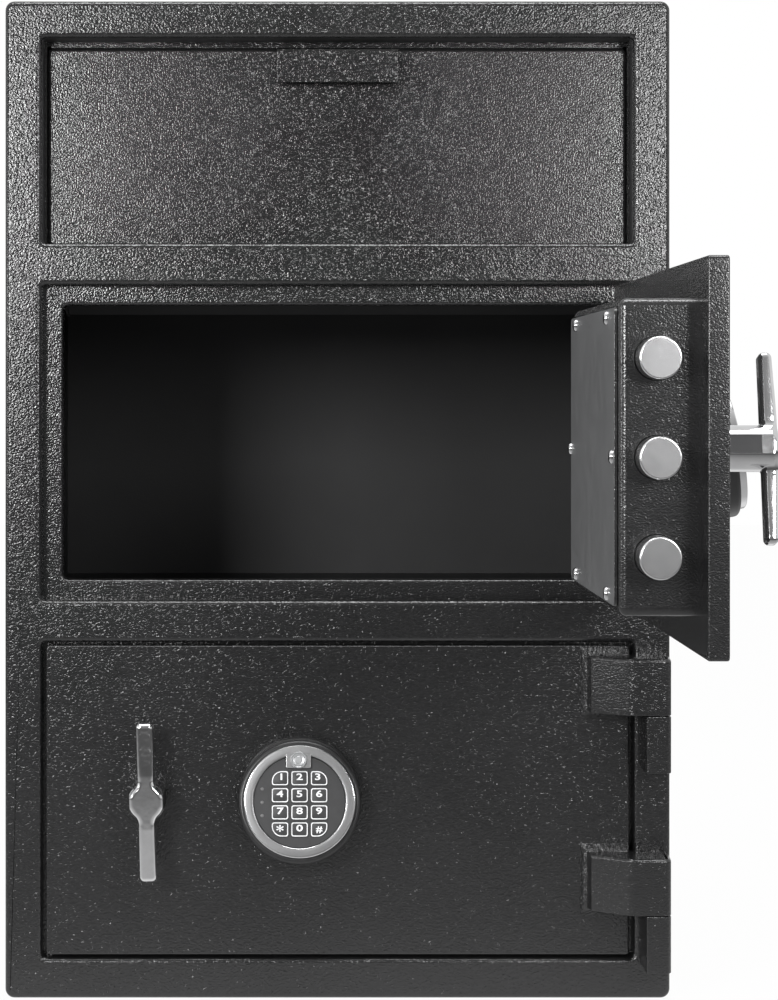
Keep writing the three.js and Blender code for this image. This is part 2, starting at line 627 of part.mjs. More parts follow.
// Handle: two arms that swell into a domed hub, on a stout stem with a flat on either side and a
// socket for the spindle
function handleShape() {
  const lowerRight = HANDLE_SIDE.slice(0, -1).reverse().map(([x, z]) => [x, -z]);
  const rightSide = new THREE.SplineCurve(
    [...HANDLE_SIDE, ...lowerRight].map(([x, z]) => new THREE.Vector2(x, z))).getPoints(HANDLE_STEPS);
  const leftSide = rightSide.map(({ x, y }) => new THREE.Vector2(-x, y)).reverse();
  const armFront = -HANDLE_OUT + HANDLE_DOME;
  const armBack = armFront + HANDLE_ARM_T;
  const bar = new THREE.ExtrudeGeometry(new THREE.Shape([...rightSide, ...leftSide]), {
    depth: HANDLE_ARM_T - 2 * HANDLE_ROUND,
    bevelEnabled: true,
    bevelThickness: HANDLE_ROUND,
    bevelSize: HANDLE_ROUND,
    bevelOffset: -HANDLE_ROUND,
    bevelSegments: 2,
  }).applyMatrix4(outlineToXZ).translate(0, armBack - HANDLE_ROUND, 0);

  const r = HANDLE_STEM_D / 2;
  const shoulder = [[r, armFront + HANDLE_ROUND], [r - HANDLE_ROUND, armFront]];
  const stem = revolve([[0, -SEAT], [r, -SEAT], ...shoulder, [r / 2, -HANDLE_OUT + HANDLE_DOME / 4],
    [0, -HANDLE_OUT]], 24);
  const flats = [-1, 1].map((side) => block(
    [side * HANDLE_ACROSS_FLATS / 2, side * HANDLE_STEM_D].sort((a, b) => a - b),
    [-HANDLE_OUT - 1, 0], [-HANDLE_STEM_D, HANDLE_STEM_D]));
  const socket = rodY(SPINDLE_D + 2 * SEAT, [-SPINDLE_SOCKET, 1], 0, 0);
  return cut(join(bar, cut(stem, ...flats)), socket);
}

// Crank on the spindle's inner end, drawn with its pin straight up
function crankShape() {
  const plate = new THREE.Shape();
  const spread = Math.acos((CRANK_HUB_R - CRANK_NOSE_R) / CRANK_R);
  plate.absarc(0, CRANK_R, CRANK_NOSE_R, Math.PI / 2 - spread, Math.PI / 2 + spread);
  plate.absarc(0, 0, CRANK_HUB_R, Math.PI / 2 + spread, 2.5 * Math.PI - spread);
  const crankFront = DOOR_T + CRANK_FROM_PLATE;
  const crankBack = crankFront + CRANK_T;
  const blank = alongY(plate, [crankFront, crankBack], 5);
  const pinEnd = crankBack + SLIDE_GAP + CARRIAGE_T + CRANK_PIN_PAST;
  const pin = rodY(CRANK_PIN_D, [crankBack - 1, pinEnd], 0, CRANK_R, 24);
  const bore = rodY(SPINDLE_D + 2 * SEAT, [crankFront - 1, crankBack + 1], 0, 0, 24);
  return cut(join(blank, pin), bore);
}

// Carriage: an angle that the bolts are screwed to, with the crank's slot and a tail
// that runs over the lock body, where the lock's own bolt can stop it
function carriageShape(places) {
  const { slotX, boltRear, carriageFront, tailEnd, tailZ } = places;
  const flangeX = boltRear + SEAT + CARRIAGE_T;
  const profile = bentStrip([
    [flangeX - CARRIAGE_REACH, carriageFront + CARRIAGE_T / 2],
    [flangeX - CARRIAGE_T / 2, carriageFront + CARRIAGE_T / 2],
    [flangeX - CARRIAGE_T / 2, DOOR_T + BOLT_DEPTH + BOLT_D / 2],
  ], CARRIAGE_T);
  const angle = alongZ(profile, [-CARRIAGE_H / 2, CARRIAGE_H / 2]);
  const tail = block([flangeX - CARRIAGE_T, tailEnd], [carriageFront, carriageFront + CARRIAGE_T], tailZ);
  const swing = radians(HANDLE_SWING / 2);
  const pinRoom = CRANK_PIN_D / 2 + PIN_FIT;
  const slotRoom = pinRoom + SLOT_END_GAP;
  const slot = block([slotX - pinRoom, slotX + pinRoom],
    [carriageFront - 1, carriageFront + CARRIAGE_T + SLIDE_GAP / 2],
    [HANDLE_UP + CRANK_R * Math.cos(swing) - slotRoom, HANDLE_UP + CRANK_R + slotRoom]);
  return cut(join(angle, tail), slot);
}

function boltShape(tipX) {
  const r = BOLT_D / 2;
  const profile = [
    [0, 0], [r - BOLT_CHAMFER, 0], [r, BOLT_CHAMFER], [r, BOLT_L], [0, BOLT_L],
  ];
  return revolve(profile, 28).rotateZ(-Math.PI / 2).translate(tipX, DOOR_T + BOLT_DEPTH, 0);
}

// Keypad parts, drawn on a level face at y = 0 and then leant back with it
const keypadMiddleOut = (KEYPAD_TOP_OUT + KEYPAD_BOTTOM_OUT) / 2;
const keypadLean = Math.atan((KEYPAD_BOTTOM_OUT - KEYPAD_TOP_OUT) / KEYPAD_D);

function leant(geometry) {
  return geometry.rotateX(-keypadLean).translate(0, -keypadMiddleOut, 0);
}

function keypadHousing() {
  const r = KEYPAD_D / 2;
  const drum = rodY(KEYPAD_D - 2 * KEYPAD_RIM_PAST, [-KEYPAD_BOTTOM_OUT - KEYPAD_RIM, -SEAT], 0, 0, 36);
  const cap = leant(block([-KEYPAD_D, KEYPAD_D], [-KEYPAD_D, KEYPAD_RIM / 2], [-KEYPAD_D, KEYPAD_D]));
  const rim = leant(revolve([
    [0, KEYPAD_RIM],
    [r, KEYPAD_RIM],
    ...arcPoints(r - KEYPAD_RIM_R, KEYPAD_RIM_R, KEYPAD_RIM_R, 0, -90, 3),
    [0, 0],
  ], 36));
  return join(cut(drum, cap), rim);
}

function keypadRing() {
  const outer = RING_D / 2;
  const inner = RING_BORE_D / 2;
  const middle = (outer + inner) / 2;
  const half = (outer - inner) / 2;
  const shoulder = -SEAT - RING_H / 2;
  const crown = Array.from({ length: 5 }, (_, i) => {
    const angle = (Math.PI * i) / 4;
    return [middle - half * Math.cos(angle), shoulder - (RING_H / 2) * Math.sin(angle)];
  });
  const ring = revolve([[inner, -SEAT], ...crown, [outer, -SEAT], [inner, -SEAT]], 40);
  const tabTop = outer - RING_TAB_IN;
  const tab = block([-RING_TAB_W / 2, RING_TAB_W / 2],
    [-SEAT - RING_H - RING_TAB_RISE, -SEAT - KEYMAT_T - KEY_RISE - SEAT], [tabTop - RING_TAB_H, tabTop]);
  return leant(join(ring, tab));
}

function keyMat() {
  const mat = rodY(RING_BORE_D - 2 * SEAT, [-SEAT - KEYMAT_T, -SEAT], 0, 0, 40);
  const field = rodY(KEYS_D, [-SEAT - KEYMAT_T - KEY_RISE, -SEAT - KEYMAT_T / 2], 0, 0, 40);
  const keys = [];
  for (let row = 0; row < KEY_ROWS; row += 1) {
    for (let column = 0; column < KEY_COLUMNS; column += 1) {
      const x = (column - (KEY_COLUMNS - 1) / 2) * KEY_COLUMN_PITCH;
      const z = ((KEY_ROWS - 1) / 2 - row) * KEY_ROW_PITCH;
      const outline = rectangle([x - KEY_W / 2, x + KEY_W / 2], [z - KEY_H / 2, z + KEY_H / 2], KEY_CORNER_R);
      const key = alongY(outline, [-SEAT - KEYMAT_T - KEY_RISE - 1, -SEAT - KEYMAT_T / 2], 1);
      keys.push(common(key, field));
    }
  }
  return leant(join(mat, ...keys));
}

// A door with everything that it carries; its group turns on the hinge line
function buildDoor(door, openingZ, openDeg, handleDeg) {
  const centreZ = openingZ + DOOR_OPENING_H / 2;
  const swing = new THREE.Group();
  swing.position.set(HINGE_X, FRONT - HINGE_OUT, centreZ);
  swing.rotation.z = radians(openDeg);
  safe.add(swing);
  const leaf = new THREE.Group();
  leaf.position.set(-HINGE_X, HINGE_OUT, 0);
  swing.add(leaf);
  const addTo = (group, piece, geometry, material) => add(group, `${door}_${piece}`, geometry, material);

  const handleX = DOOR_FREE_X + HANDLE_FROM_EDGE;
  const keypadX = DOOR_FREE_X + KEYPAD_FROM_EDGE;
  const spindleHole = rodY(SPINDLE_D + 2 * SHAFT_FIT, [-1, DOOR_T + 1], handleX, HANDLE_UP, 24);
  const cableHole = rodY(CABLE_HOLE_D, [-1, DOOR_T + 1], keypadX, KEYPAD_UP, 20);
  const plate = roundedPlate(
    rectangle([-DOOR_W / 2, DOOR_W / 2], [-DOOR_H / 2, DOOR_H / 2], DOOR_CORNER_R), [0, DOOR_T], DOOR_EDGE_R);
  addTo(leaf, 'door_plate', cut(plate, spindleHole, cableHole), blackTexture);
  for (const [place, offset] of Object.entries(HINGE_SPLITS)) {
    addTo(leaf, `hinge_leaf_${place}`, hingeLeaf(offset), blackTexture);
  }

  // Lock box: four walls with a flange turned in for the cover
  const boxX = [DOOR_FREE_X + BOX_FROM_EDGE, DOOR_FREE_X + BOX_FROM_EDGE + BOX_L];
  const boxZ = [-BOX_H / 2, BOX_H / 2];
  const boxY = [DOOR_T + SEAT, DOOR_T + BOX_DEPTH - SEAT];
  const inset = ([a, b], by) => [a + by, b - by];
  const boxBlank = roundedPlate(rectangle(boxX, boxZ, BOX_CORNER_R), boxY, BOX_EDGE_R, 'back');
  const boxHollow = block(inset(boxX, BOX_WALL), [boxY[0] - 1, boxY[1] - BOX_WALL], inset(boxZ, BOX_WALL));
  const boxMouth = block(inset(boxX, BOX_FLANGE_W), [boxY[0] - 1, boxY[1] + 1], inset(boxZ, BOX_FLANGE_W));
  const boltZ = { top: BOLT_PITCH, middle: 0, bottom: -BOLT_PITCH };
  const boltHoles = Object.values(boltZ).map((z) => rodX(
    BOLT_D + 2 * BOLT_FIT, [boxX[0] - 1, boxX[0] + BOX_WALL + 1], DOOR_T + BOLT_DEPTH, z, 28));
  addTo(leaf, 'lock_box', cut(boxBlank, boxHollow, boxMouth, ...boltHoles), blackTexture);
  const coverOutline = rectangle(inset(boxX, COVER_INSET), inset(boxZ, COVER_INSET), COVER_CORNER_R);
  addTo(leaf, 'lock_box_cover', alongY(coverOutline, [boxY[1] + SEAT, boxY[1] + SEAT + COVER_T]), satinCover);

  // Guide plate across the box, with a hole for each bolt
  const crankBack = DOOR_T + CRANK_FROM_PLATE + CRANK_T;
  const carriageFront = crankBack + SLIDE_GAP;
  const guideX = boxX[0] + GUIDE_FROM_WALL;
  const guideSpanX = [guideX, guideX + GUIDE_T];
  const guideBlank = block(guideSpanX,
    [carriageFront + CARRIAGE_T + SLIDE_GAP / 2, boxY[1] - BOX_WALL - SEAT], inset(boxZ, BOX_WALL + SEAT));
  const guideHoles = Object.values(boltZ).map((z) => rodX(
    BOLT_D + 2 * BOLT_FIT, [guideX - 1, guideX + GUIDE_T + 1], DOOR_T + BOLT_DEPTH, z, 28));
  addTo(leaf, 'bolt_guide', cut(guideBlank, ...guideHoles), steel);

  // Lock body with its bolt drawn in, standing below the carriage's tail
  const lockX = [keypadX - LOCK_W / 2, keypadX + LOCK_W / 2];
  const lockZ = [LOCK_TOP_UP - LOCK_H, LOCK_TOP_UP];
  const lockBlank = alongY(rectangle(lockX, lockZ, LOCK_CORNER_R), [DOOR_T + SEAT, DOOR_T + SEAT + LOCK_T]);
  const lockBoltMid = carriageFront + CARRIAGE_T / 2;
  const lockBoltX = [keypadX - LOCK_BOLT_W / 2, keypadX + LOCK_BOLT_W / 2];
  const lockBoltY = [lockBoltMid - LOCK_BOLT_T / 2, lockBoltMid + LOCK_BOLT_T / 2];
  const pocket = block(inset(lockBoltX, -SEAT), inset(lockBoltY, -SEAT),
    [LOCK_TOP_UP - LOCK_BOLT_H - SEAT, LOCK_TOP_UP + 1]);
  addTo(leaf, 'lock_body', cut(lockBlank, pocket), zinc);
  addTo(leaf, 'lock_bolt', block(lockBoltX, lockBoltY, [LOCK_TOP_UP - LOCK_BOLT_H, LOCK_TOP_UP]), steel);

  // Keypad on the door's face
  addTo(leaf, 'keypad_housing', keypadHousing().translate(keypadX, 0, KEYPAD_UP), blackPlastic);
  addTo(leaf, 'keypad_ring', keypadRing().translate(keypadX, 0, KEYPAD_UP), chrome);
  addTo(leaf, 'keypad_keys', keyMat().translate(keypadX, 0, KEYPAD_UP), keyRubber);

  // Handle group turns on the spindle; clockwise from the front draws the bolts back
  const handleGroup = new THREE.Group();
  handleGroup.position.set(handleX, 0, HANDLE_UP);
  handleGroup.rotation.y = radians(handleDeg);
  leaf.add(handleGroup);
  addTo(handleGroup, 'handle', handleShape(), chrome);
  addTo(handleGroup, 'spindle', rodY(SPINDLE_D, [-SPINDLE_SOCKET + SEAT, crankBack - SEAT], 0, 0, 24), steel);
  addTo(handleGroup, 'crank', crankShape().rotateY(-radians(HANDLE_SWING / 2)), steel);

  // Bolts and their carriage slide together, in step with the handle
  const stroke = 2 * CRANK_R * Math.sin(radians(HANDLE_SWING / 2));
  const drawn = (stroke * handleDeg) / HANDLE_SWING;
  const boltGroup = new THREE.Group();
  boltGroup.position.x = drawn;
  leaf.add(boltGroup);
  const tipX = boxX[0] - BOLT_THROW_OUT;
  const lockSideX = lockBoltX[0] - TAIL_TO_BOLT;
  const tailLow = LOCK_TOP_UP + TAIL_OVER_LOCK;
  addTo(boltGroup, 'bolt_carriage', carriageShape({
    slotX: handleX - stroke / 2,
    boltRear: tipX + BOLT_L,
    carriageFront,
    tailEnd: lockSideX,
    tailZ: [tailLow, tailLow + CARRIAGE_TAIL_H],
  }), steel);
  for (const [place, z] of Object.entries(boltZ)) {
    addTo(boltGroup, `bolt_${place}`, boltShape(tipX).translate(0, 0, z), chrome);
  }

  bodyHinges(door, centreZ);
}

buildDoor('lower', LOWER_OPENING_Z, LOWER_DOOR_OPEN, LOWER_HANDLE_TURN);
buildDoor('upper', UPPER_OPENING_Z, UPPER_DOOR_OPEN, UPPER_HANDLE_TURN);

export default safe;
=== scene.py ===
# Drop safe with a tilt-out deposit hopper: its looks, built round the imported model.
# Metres throughout, +Z up, the front towards -Y, the origin under the middle of the floor.
import math

import bmesh
import bpy
from mathutils import Matrix, Vector


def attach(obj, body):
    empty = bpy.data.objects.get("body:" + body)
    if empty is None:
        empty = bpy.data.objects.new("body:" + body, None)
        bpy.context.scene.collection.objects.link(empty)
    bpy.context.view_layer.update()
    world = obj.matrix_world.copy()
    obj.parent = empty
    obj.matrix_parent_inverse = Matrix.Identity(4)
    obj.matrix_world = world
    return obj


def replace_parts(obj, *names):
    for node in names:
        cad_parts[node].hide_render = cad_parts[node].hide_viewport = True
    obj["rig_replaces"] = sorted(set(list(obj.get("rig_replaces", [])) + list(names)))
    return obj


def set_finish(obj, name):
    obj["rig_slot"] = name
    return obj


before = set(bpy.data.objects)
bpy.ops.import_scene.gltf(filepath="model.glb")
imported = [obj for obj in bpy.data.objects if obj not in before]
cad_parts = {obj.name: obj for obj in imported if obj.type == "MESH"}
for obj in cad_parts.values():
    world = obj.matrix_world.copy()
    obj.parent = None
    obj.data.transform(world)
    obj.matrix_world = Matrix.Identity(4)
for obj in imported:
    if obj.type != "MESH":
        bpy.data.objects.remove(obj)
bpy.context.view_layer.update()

# Camera. It stands level in front of the safe, a little left of the middle and above it, with the
# lens shifted, so that upright lines stay upright.
PHOTO_WIDTH = 778
PHOTO_HEIGHT = 1000
FOCAL_PX = 2631
PRINCIPAL_X = 293.3
PRINCIPAL_Y = 393.3
camera_data = bpy.data.cameras.new("camera")
camera_data.sensor_width = 36
camera_data.lens = FOCAL_PX / PHOTO_HEIGHT * camera_data.sensor_width
camera_data.shift_x = (PHOTO_WIDTH / 2 - PRINCIPAL_X) / PHOTO_HEIGHT
camera_data.shift_y = (PRINCIPAL_Y - PHOTO_HEIGHT / 2) / PHOTO_HEIGHT
camera_data.clip_end = 50
camera = bpy.data.objects.new("camera", camera_data)
camera.location = (-0.0338, -2.263, 0.4622)
camera.rotation_euler = (math.radians(90), 0, 0)
bpy.context.scene.collection.objects.link(camera)
bpy.context.scene.camera = camera


# Black hammered coat. The steel is powder coated: a near-black film that dried into small smooth
# humps little more than a millimetre apart, which catch the lamps one by one.
class Signal:
    """An output socket in Python arithmetic; each operator adds its Math node."""

    def __init__(self, finish, socket):
        self.finish = finish
        self.socket = socket

    def math(self, operation, *terms):
        return self.finish.node("ShaderNodeMath", {"operation": operation}, dict(enumerate(terms)))

    def __add__(self, other):
        return self.math("ADD", self, other)

    def __radd__(self, other):
        return self.math("ADD", other, self)

    def __sub__(self, other):
        return self.math("SUBTRACT", self, other)

    def __rsub__(self, other):
        return self.math("SUBTRACT", other, self)

    def __mul__(self, other):
        return self.math("MULTIPLY", self, other)

    def __rmul__(self, other):
        return self.math("MULTIPLY", other, self)


class Finish:
    """A material: its Principled shader and the nodes that vary it over the surface."""

    def __init__(self, name, **values):
        self.material = bpy.data.materials.new(name)
        self.material.use_nodes = True
        self.tree = self.material.node_tree
        self.shader = self.tree.nodes["Principled BSDF"]
        self.place = self.node("ShaderNodeTexCoord", output="Object")
        self.feed(self.shader, {key.replace("_", " "): value for key, value in values.items()})

    def feed(self, node, sockets):
        for key, value in sockets.items():
            if isinstance(value, Signal):
                self.tree.links.new(value.socket, node.inputs[key])
            else:
                node.inputs[key].default_value = value

    def node(self, kind, settings=None, sockets=None, output=0):
        made = self.tree.nodes.new(kind)
        for key, value in (settings or {}).items():
            if key == "stops":
                elements = made.color_ramp.elements
                while len(elements) < len(value):
                    elements.new(1)
                for element, (position, color) in zip(elements, value):
                    element.position = position
                    element.color = color
            else:
                setattr(made, key, value)
        self.feed(made, sockets or {})
        return Signal(self, made.outputs[output])

    def noise(self, scale, detail=2, roughness=0.5):
        return self.node("ShaderNodeTexNoise", {}, {
            "Vector": self.place, "Scale": scale, "Detail": detail, "Roughness": roughness}, "Fac")

    def ramp(self, factor, stops):
        return self.node("ShaderNodeValToRGB", {"stops": stops}, {"Fac": factor}, "Color")

    def bump(self, height, distance, strength=1):
        return self.node("ShaderNodeBump", {}, {
            "Height": height, "Distance": distance, "Strength": strength}, "Normal")


def hammered_coat(name, hump_scale, hump_depth, roughness):
    finish = Finish(name, Specular_IOR_Level=0.7)
    ripple = finish.noise(hump_scale, 1.5, 0.45)
    patches = finish.noise(9, 3, 0.6)
    grain = finish.noise(3600, 2, 0.6)
    steep = finish.ramp(finish.noise(430, 1, 0.5), [(0.56, (0, 0, 0, 1)), (0.66, (1, 1, 1, 1))])
    colour = finish.ramp(patches * 0.3 + ripple * 0.7, [
        (0.3, (0.0060, 0.0060, 0.0062, 1)), (0.7, (0.0160, 0.0160, 0.0165, 1))])
    finish.feed(finish.shader, {
        "Base Color": colour,
        "Roughness": roughness + patches * 0.06 + grain * 0.04,
        "Normal": finish.bump((ripple - 0.5) * (1 + steep * 0.95), hump_depth)})
    return finish.material


black_coat = hammered_coat("black_hammered_coat", 750, 0.00030, 0.10)
fine_coat = hammered_coat("fine_black_coat", 900, 0.00015, 0.15)


# Studio. A white world lights the safe evenly. Two soft lamps beside the camera make the coat sparkle
# towards the upper corners, one overhead and one at the side pick out edges and welds, and a pale
# floor carries the safe and its shadow.
def look_down(lamp, target):
    lamp.rotation_euler = (Vector(target) - lamp.location).to_track_quat("-Z", "Y").to_euler()


def soft_lamp(name, place, target, size, watts):
    data = bpy.data.lights.new(name, "AREA")
    data.shape = "RECTANGLE"
    data.size, data.size_y = size
    data.energy = watts
    lamp = bpy.data.objects.new(name, data)
    lamp.location = place
    lamp.visible_camera = False
    look_down(lamp, target)
    bpy.context.scene.collection.objects.link(lamp)


soft_lamp("lamp_left", (-0.96, -2.41, 0.85), (-0.1, -0.25, 0.5), (0.55, 0.55), 31)
soft_lamp("lamp_right", (0.75, -1.83, 0.77), (0.1, -0.25, 0.5), (0.42, 0.42), 11.2)
soft_lamp("lamp_above", (0, -0.6, 2.15), (0, -0.25, 0.45), (1.4, 0.6), 22)
soft_lamp("lamp_side", (-1.75, -1.05, 0.55), (0.2, -0.27, 0.2), (0.3, 0.3), 3.5)

world = bpy.data.worlds.new("studio")
world.use_nodes = True
bpy.context.scene.world = world
air = world.node_tree
background = air.nodes["Background"]
path = air.nodes.new("ShaderNodeLightPath")
toward = air.nodes.new("ShaderNodeTexCoord")
axes = air.nodes.new("ShaderNodeSeparateXYZ")
air.links.new(toward.outputs["Generated"], axes.inputs["Vector"])
behind_camera = air.nodes.new("ShaderNodeMapRange")
air.links.new(axes.outputs["Y"], behind_camera.inputs["Value"])
for socket, value in {"From Min": -1, "From Max": -0.3, "To Min": 0.20, "To Max": 0.8}.items():
    behind_camera.inputs[socket].default_value = value


def blend_level(share, low, high):
    mix = air.nodes.new("ShaderNodeMix")
    mix.data_type = "FLOAT"
    sockets = (mix.inputs["Factor"], mix.inputs["A"], mix.inputs["B"])
    for socket, value in zip(sockets, (share, low, high)):
        if isinstance(value, (int, float)):
            socket.default_value = value
        else:
            air.links.new(value, socket)
    return mix.outputs["Result"]


around = blend_level(path.outputs["Is Diffuse Ray"], behind_camera.outputs["Result"], 0.6)
air.links.new(blend_level(path.outputs["Is Camera Ray"], around, 1), background.inputs["Strength"])
background.inputs["Color"].default_value = (1, 1, 1, 1)

bpy.context.scene.view_settings.view_transform = "Standard"
bpy.ops.object.select_all(action="DESELECT")
bpy.ops.mesh.primitive_plane_add(size=14, location=(0, 0, -0.0005))
floor = bpy.context.active_object
floor.name = "floor"
paper = Finish("floor_paper", Base_Color=(0.86, 0.86, 0.86, 1), Roughness=0.9, Specular_IOR_Level=0.1)
seen = paper.node("ShaderNodeLightPath", output="Is Camera Ray")
mirrored = paper.node("ShaderNodeLightPath", output="Is Glossy Ray")
passed = paper.node("ShaderNodeLightPath", output="Is Transmission Ray")
# To glossy rays the floor glows with a painted reflection of lit floor, bright near the safe and fading to
# dark grey farther out.
narrowed = paper.node("ShaderNodeVectorMath", {"operation": "MULTIPLY"}, {
    0: paper.place, 1: (0.6, 1, 1)}, "Vector")
reach = paper.node("ShaderNodeVectorMath", {"operation": "LENGTH"}, {0: narrowed}, "Value")
glow = paper.node("ShaderNodeMixShader", {}, {
    0: mirrored,
    1: paper.node("ShaderNodeEmission", {}, {"Color": (1, 1, 1, 1), "Strength": 1}),
    2: paper.node("ShaderNodeEmission", {}, {"Strength": 1, "Color": paper.ramp(reach * 0.3, [
        (0.10, (0.85, 0.85, 0.85, 1)), (0.15, (0.52, 0.52, 0.52, 1)),
        (0.25, (0.42, 0.42, 0.42, 1)), (0.38, (0.20, 0.20, 0.20, 1)),
        (0.52, (0.10, 0.10, 0.10, 1)), (1, (0.08, 0.08, 0.08, 1))])})})
shares = (seen + mirrored + passed) * 0.97
mixed = paper.node("ShaderNodeMixShader", {}, {
    0: shares, 1: Signal(paper, paper.shader.outputs[0]), 2: glow})
paper.tree.links.new(mixed.socket, paper.tree.nodes["Material Output"].inputs["Surface"])
floor.data.materials.append(paper.material)


# Body shell. One steel sheet, five millimetres thick, is bent round the sides, roof and floor; four
# holes in the floor take anchor bolts. Inside, less paint reached it, so the film is flat and dull, and
# its colour is painted lighter than the outside as painted bounce light.
def only(obj):
    bpy.ops.object.select_all(action="DESELECT")
    obj.select_set(True)
    bpy.context.view_layer.objects.active = obj


def settle(obj):
    only(obj)
    bpy.ops.object.transform_apply(location=True, rotation=True, scale=True)
    return obj


def cuboid(name, low, high):
    low, high = Vector(low), Vector(high)
    bpy.ops.object.select_all(action="DESELECT")
    bpy.ops.mesh.primitive_cube_add(size=1, location=(low + high) / 2)
    block = bpy.context.active_object
    block.name = name
    block.scale = high - low
    return settle(block)


TURNS = {"X": (0, math.radians(90), 0), "Y": (math.radians(90), 0, 0), "Z": (0, 0, 0)}


def rod(name, axis, centre, radius, length, sides=48):
    bpy.ops.object.select_all(action="DESELECT")
    bpy.ops.mesh.primitive_cylinder_add(
        vertices=sides, radius=radius, depth=length, location=centre, rotation=TURNS[axis])
    made = bpy.context.active_object
    made.name = name
    return settle(made)


def shape(obj):
    only(obj)
    bpy.ops.object.mode_set(mode="EDIT")
    bpy.ops.mesh.select_all(action="DESELECT")


def pick(kind, wanted):
    mesh_object = bpy.context.edit_object
    bpy.ops.mesh.select_mode(type=kind)
    bpy.ops.mesh.select_all(action="DESELECT")
    mesh = bmesh.from_edit_mesh(mesh_object.data)
    mesh.normal_update()
    items = {"VERT": mesh.verts, "EDGE": mesh.edges, "FACE": mesh.faces}[kind]
    for item in items:
        if wanted(item):
            item.select_set(True)
    bmesh.update_edit_mesh(mesh_object.data)


def middle(edge):
    return (edge.verts[0].co + edge.verts[1].co) / 2


def runs(edge, axis):
    line = edge.verts[1].co - edge.verts[0].co
    return abs(line["XYZ".index(axis)]) > 0.999 * line.length


def rounded(width, steps=4):
    bpy.ops.mesh.bevel(offset=width, offset_type="OFFSET", segments=steps, affect="EDGES", profile=0.5)


def at(value, target, near=0.0003):
    return abs(value - target) < near


def sharp(edge, degrees=50):
    return len(edge.link_faces) == 2 and edge.calc_face_angle() > math.radians(degrees)


def leave():
    bpy.ops.object.mode_set(mode="OBJECT")


def apply_modifier(obj, kind, **settings):
    only(obj)
    bpy.ops.object.modifier_add(type=kind)
    modifier = obj.modifiers[-1]
    for key, value in settings.items():
        setattr(modifier, key, value)
    bpy.ops.object.modifier_apply(modifier=modifier.name)


def carve(obj, *cutters, operation="DIFFERENCE"):
    for cutter in cutters:
        apply_modifier(obj, "BOOLEAN", operation=operation, object=cutter, solver="EXACT")
        bpy.data.objects.remove(cutter)


def wear(obj, material, body, slot, *replaced, smooth=35, weighted=True, second=None, where=None):
    only(obj)
    bpy.ops.object.shade_smooth_by_angle(angle=math.radians(smooth))
    if weighted:
        apply_modifier(obj, "WEIGHTED_NORMAL", keep_sharp=True)
    obj.data.materials.clear()
    obj.data.materials.append(material)
    if second:
        obj.data.materials.append(second)
        for face in obj.data.polygons:
            face.material_index = int(where(face))
    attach(obj, body)
    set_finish(obj, slot)
    if replaced:
        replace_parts(obj, *replaced)
    return obj


# A dull coat for the inside; its base colour, several times lighter than the outer coat, is painted bounce
# light.
def dull_coat_painted_light(name):
    finish = Finish(name, Specular_IOR_Level=0.4)
    film = finish.noise(700, 3, 0.55)
    patches = finish.noise(7, 3, 0.6)
    finish.feed(finish.shader, {
        "Base Color": finish.ramp(patches, [
            (0.3, (0.0300, 0.0300, 0.0306, 1)), (0.7, (0.0400, 0.0400, 0.0410, 1))]),
        "Roughness": 0.42 + patches * 0.12,
        "Normal": finish.bump(film, 0.00015)})
    return finish.material


sheet_coat_painted_light = dull_coat_painted_light("dull_black_sheet_painted_light")
HALF_W = 0.254
BODY_H = 0.762
FRAME_BACK = -0.240
BACK_INSIDE = 0.249
REAR = 0.254
BODY_CORNER_R = 0.007
SHEET_T = 0.005
ANCHOR_PLACE = 0.18
ANCHOR_R = 0.007
shell = cuboid("body_shell", (-HALF_W, FRAME_BACK, 0), (HALF_W, BACK_INSIDE, BODY_H))
shape(shell)
pick("EDGE", lambda e: runs(e, "Y"))
rounded(BODY_CORNER_R, 6)
pick("FACE", lambda f: abs(f.normal.y) > 0.9)
bpy.ops.mesh.delete(type="FACE")
leave()
apply_modifier(shell, "SOLIDIFY", thickness=SHEET_T, offset=-1, use_even_offset=True)
carve(shell, *[rod("anchor_drill", "Z", (x, y, 0.002), ANCHOR_R, 4 * SHEET_T, 32)
               for x in (-ANCHOR_PLACE, ANCHOR_PLACE) for y in (-ANCHOR_PLACE, ANCHOR_PLACE)])
wear(shell, black_coat, "body", "black_texture", "body_wrapper", second=sheet_coat_painted_light,
     where=lambda f: f.normal.x * f.center.x + f.normal.z * (f.center.z - BODY_H / 2) < -0.1)

# Back plate. A plain sheet welded all round inside the bend. Its edge was ground flush and rounded
# before coating, and its inner side has the duller film, painted lighter as painted bounce light.
back = cuboid("rear_plate", (-HALF_W, BACK_INSIDE, 0), (HALF_W, REAR, BODY_H))
shape(back)
pick("EDGE", lambda e: runs(e, "Y"))
rounded(BODY_CORNER_R, 6)
pick("EDGE", lambda e: sharp(e) and at(middle(e).y, REAR))
rounded(0.0012, 3)
leave()
wear(back, black_coat, "body", "black_texture", "back_plate", second=sheet_coat_painted_light,
     where=lambda f: f.normal.y < -0.9)

# Front frame. Thick plate with three openings; its edges are rounded over before coating, so a
# soft band runs round the safe and round each opening. A surround of thin sheet behind the hopper's
# opening, with a strip along its top and sides, keeps hooks from reaching past the panel.
OPENING_HALF_W = 0.226
LOWER_OPENING = (0.031, 0.272)
UPPER_OPENING = (0.304, 0.545)
HOPPER_OPENING = (0.577, 0.734)
FRONT = -0.254
SURROUND_T = 0.003
SURROUND_DEPTH = 0.014
HOLLOW_FRONT = FRAME_BACK - 0.010
HOLLOW_BACK = FRAME_BACK + 0.030
HOLLOW_LOW = HOPPER_OPENING[0] - 0.010
STRIP_BACK = -0.2235
TOP_STRIP_FRONT = -0.2265
TOP_STRIP_Z = (0.7304, 0.7370)
SIDE_STRIP_FRONT = -0.2255
SIDE_STRIP_X = (0.2244, 0.2290)
SIDE_STRIP_Z = (0.578, 0.735)
CUT_REACH = 0.05


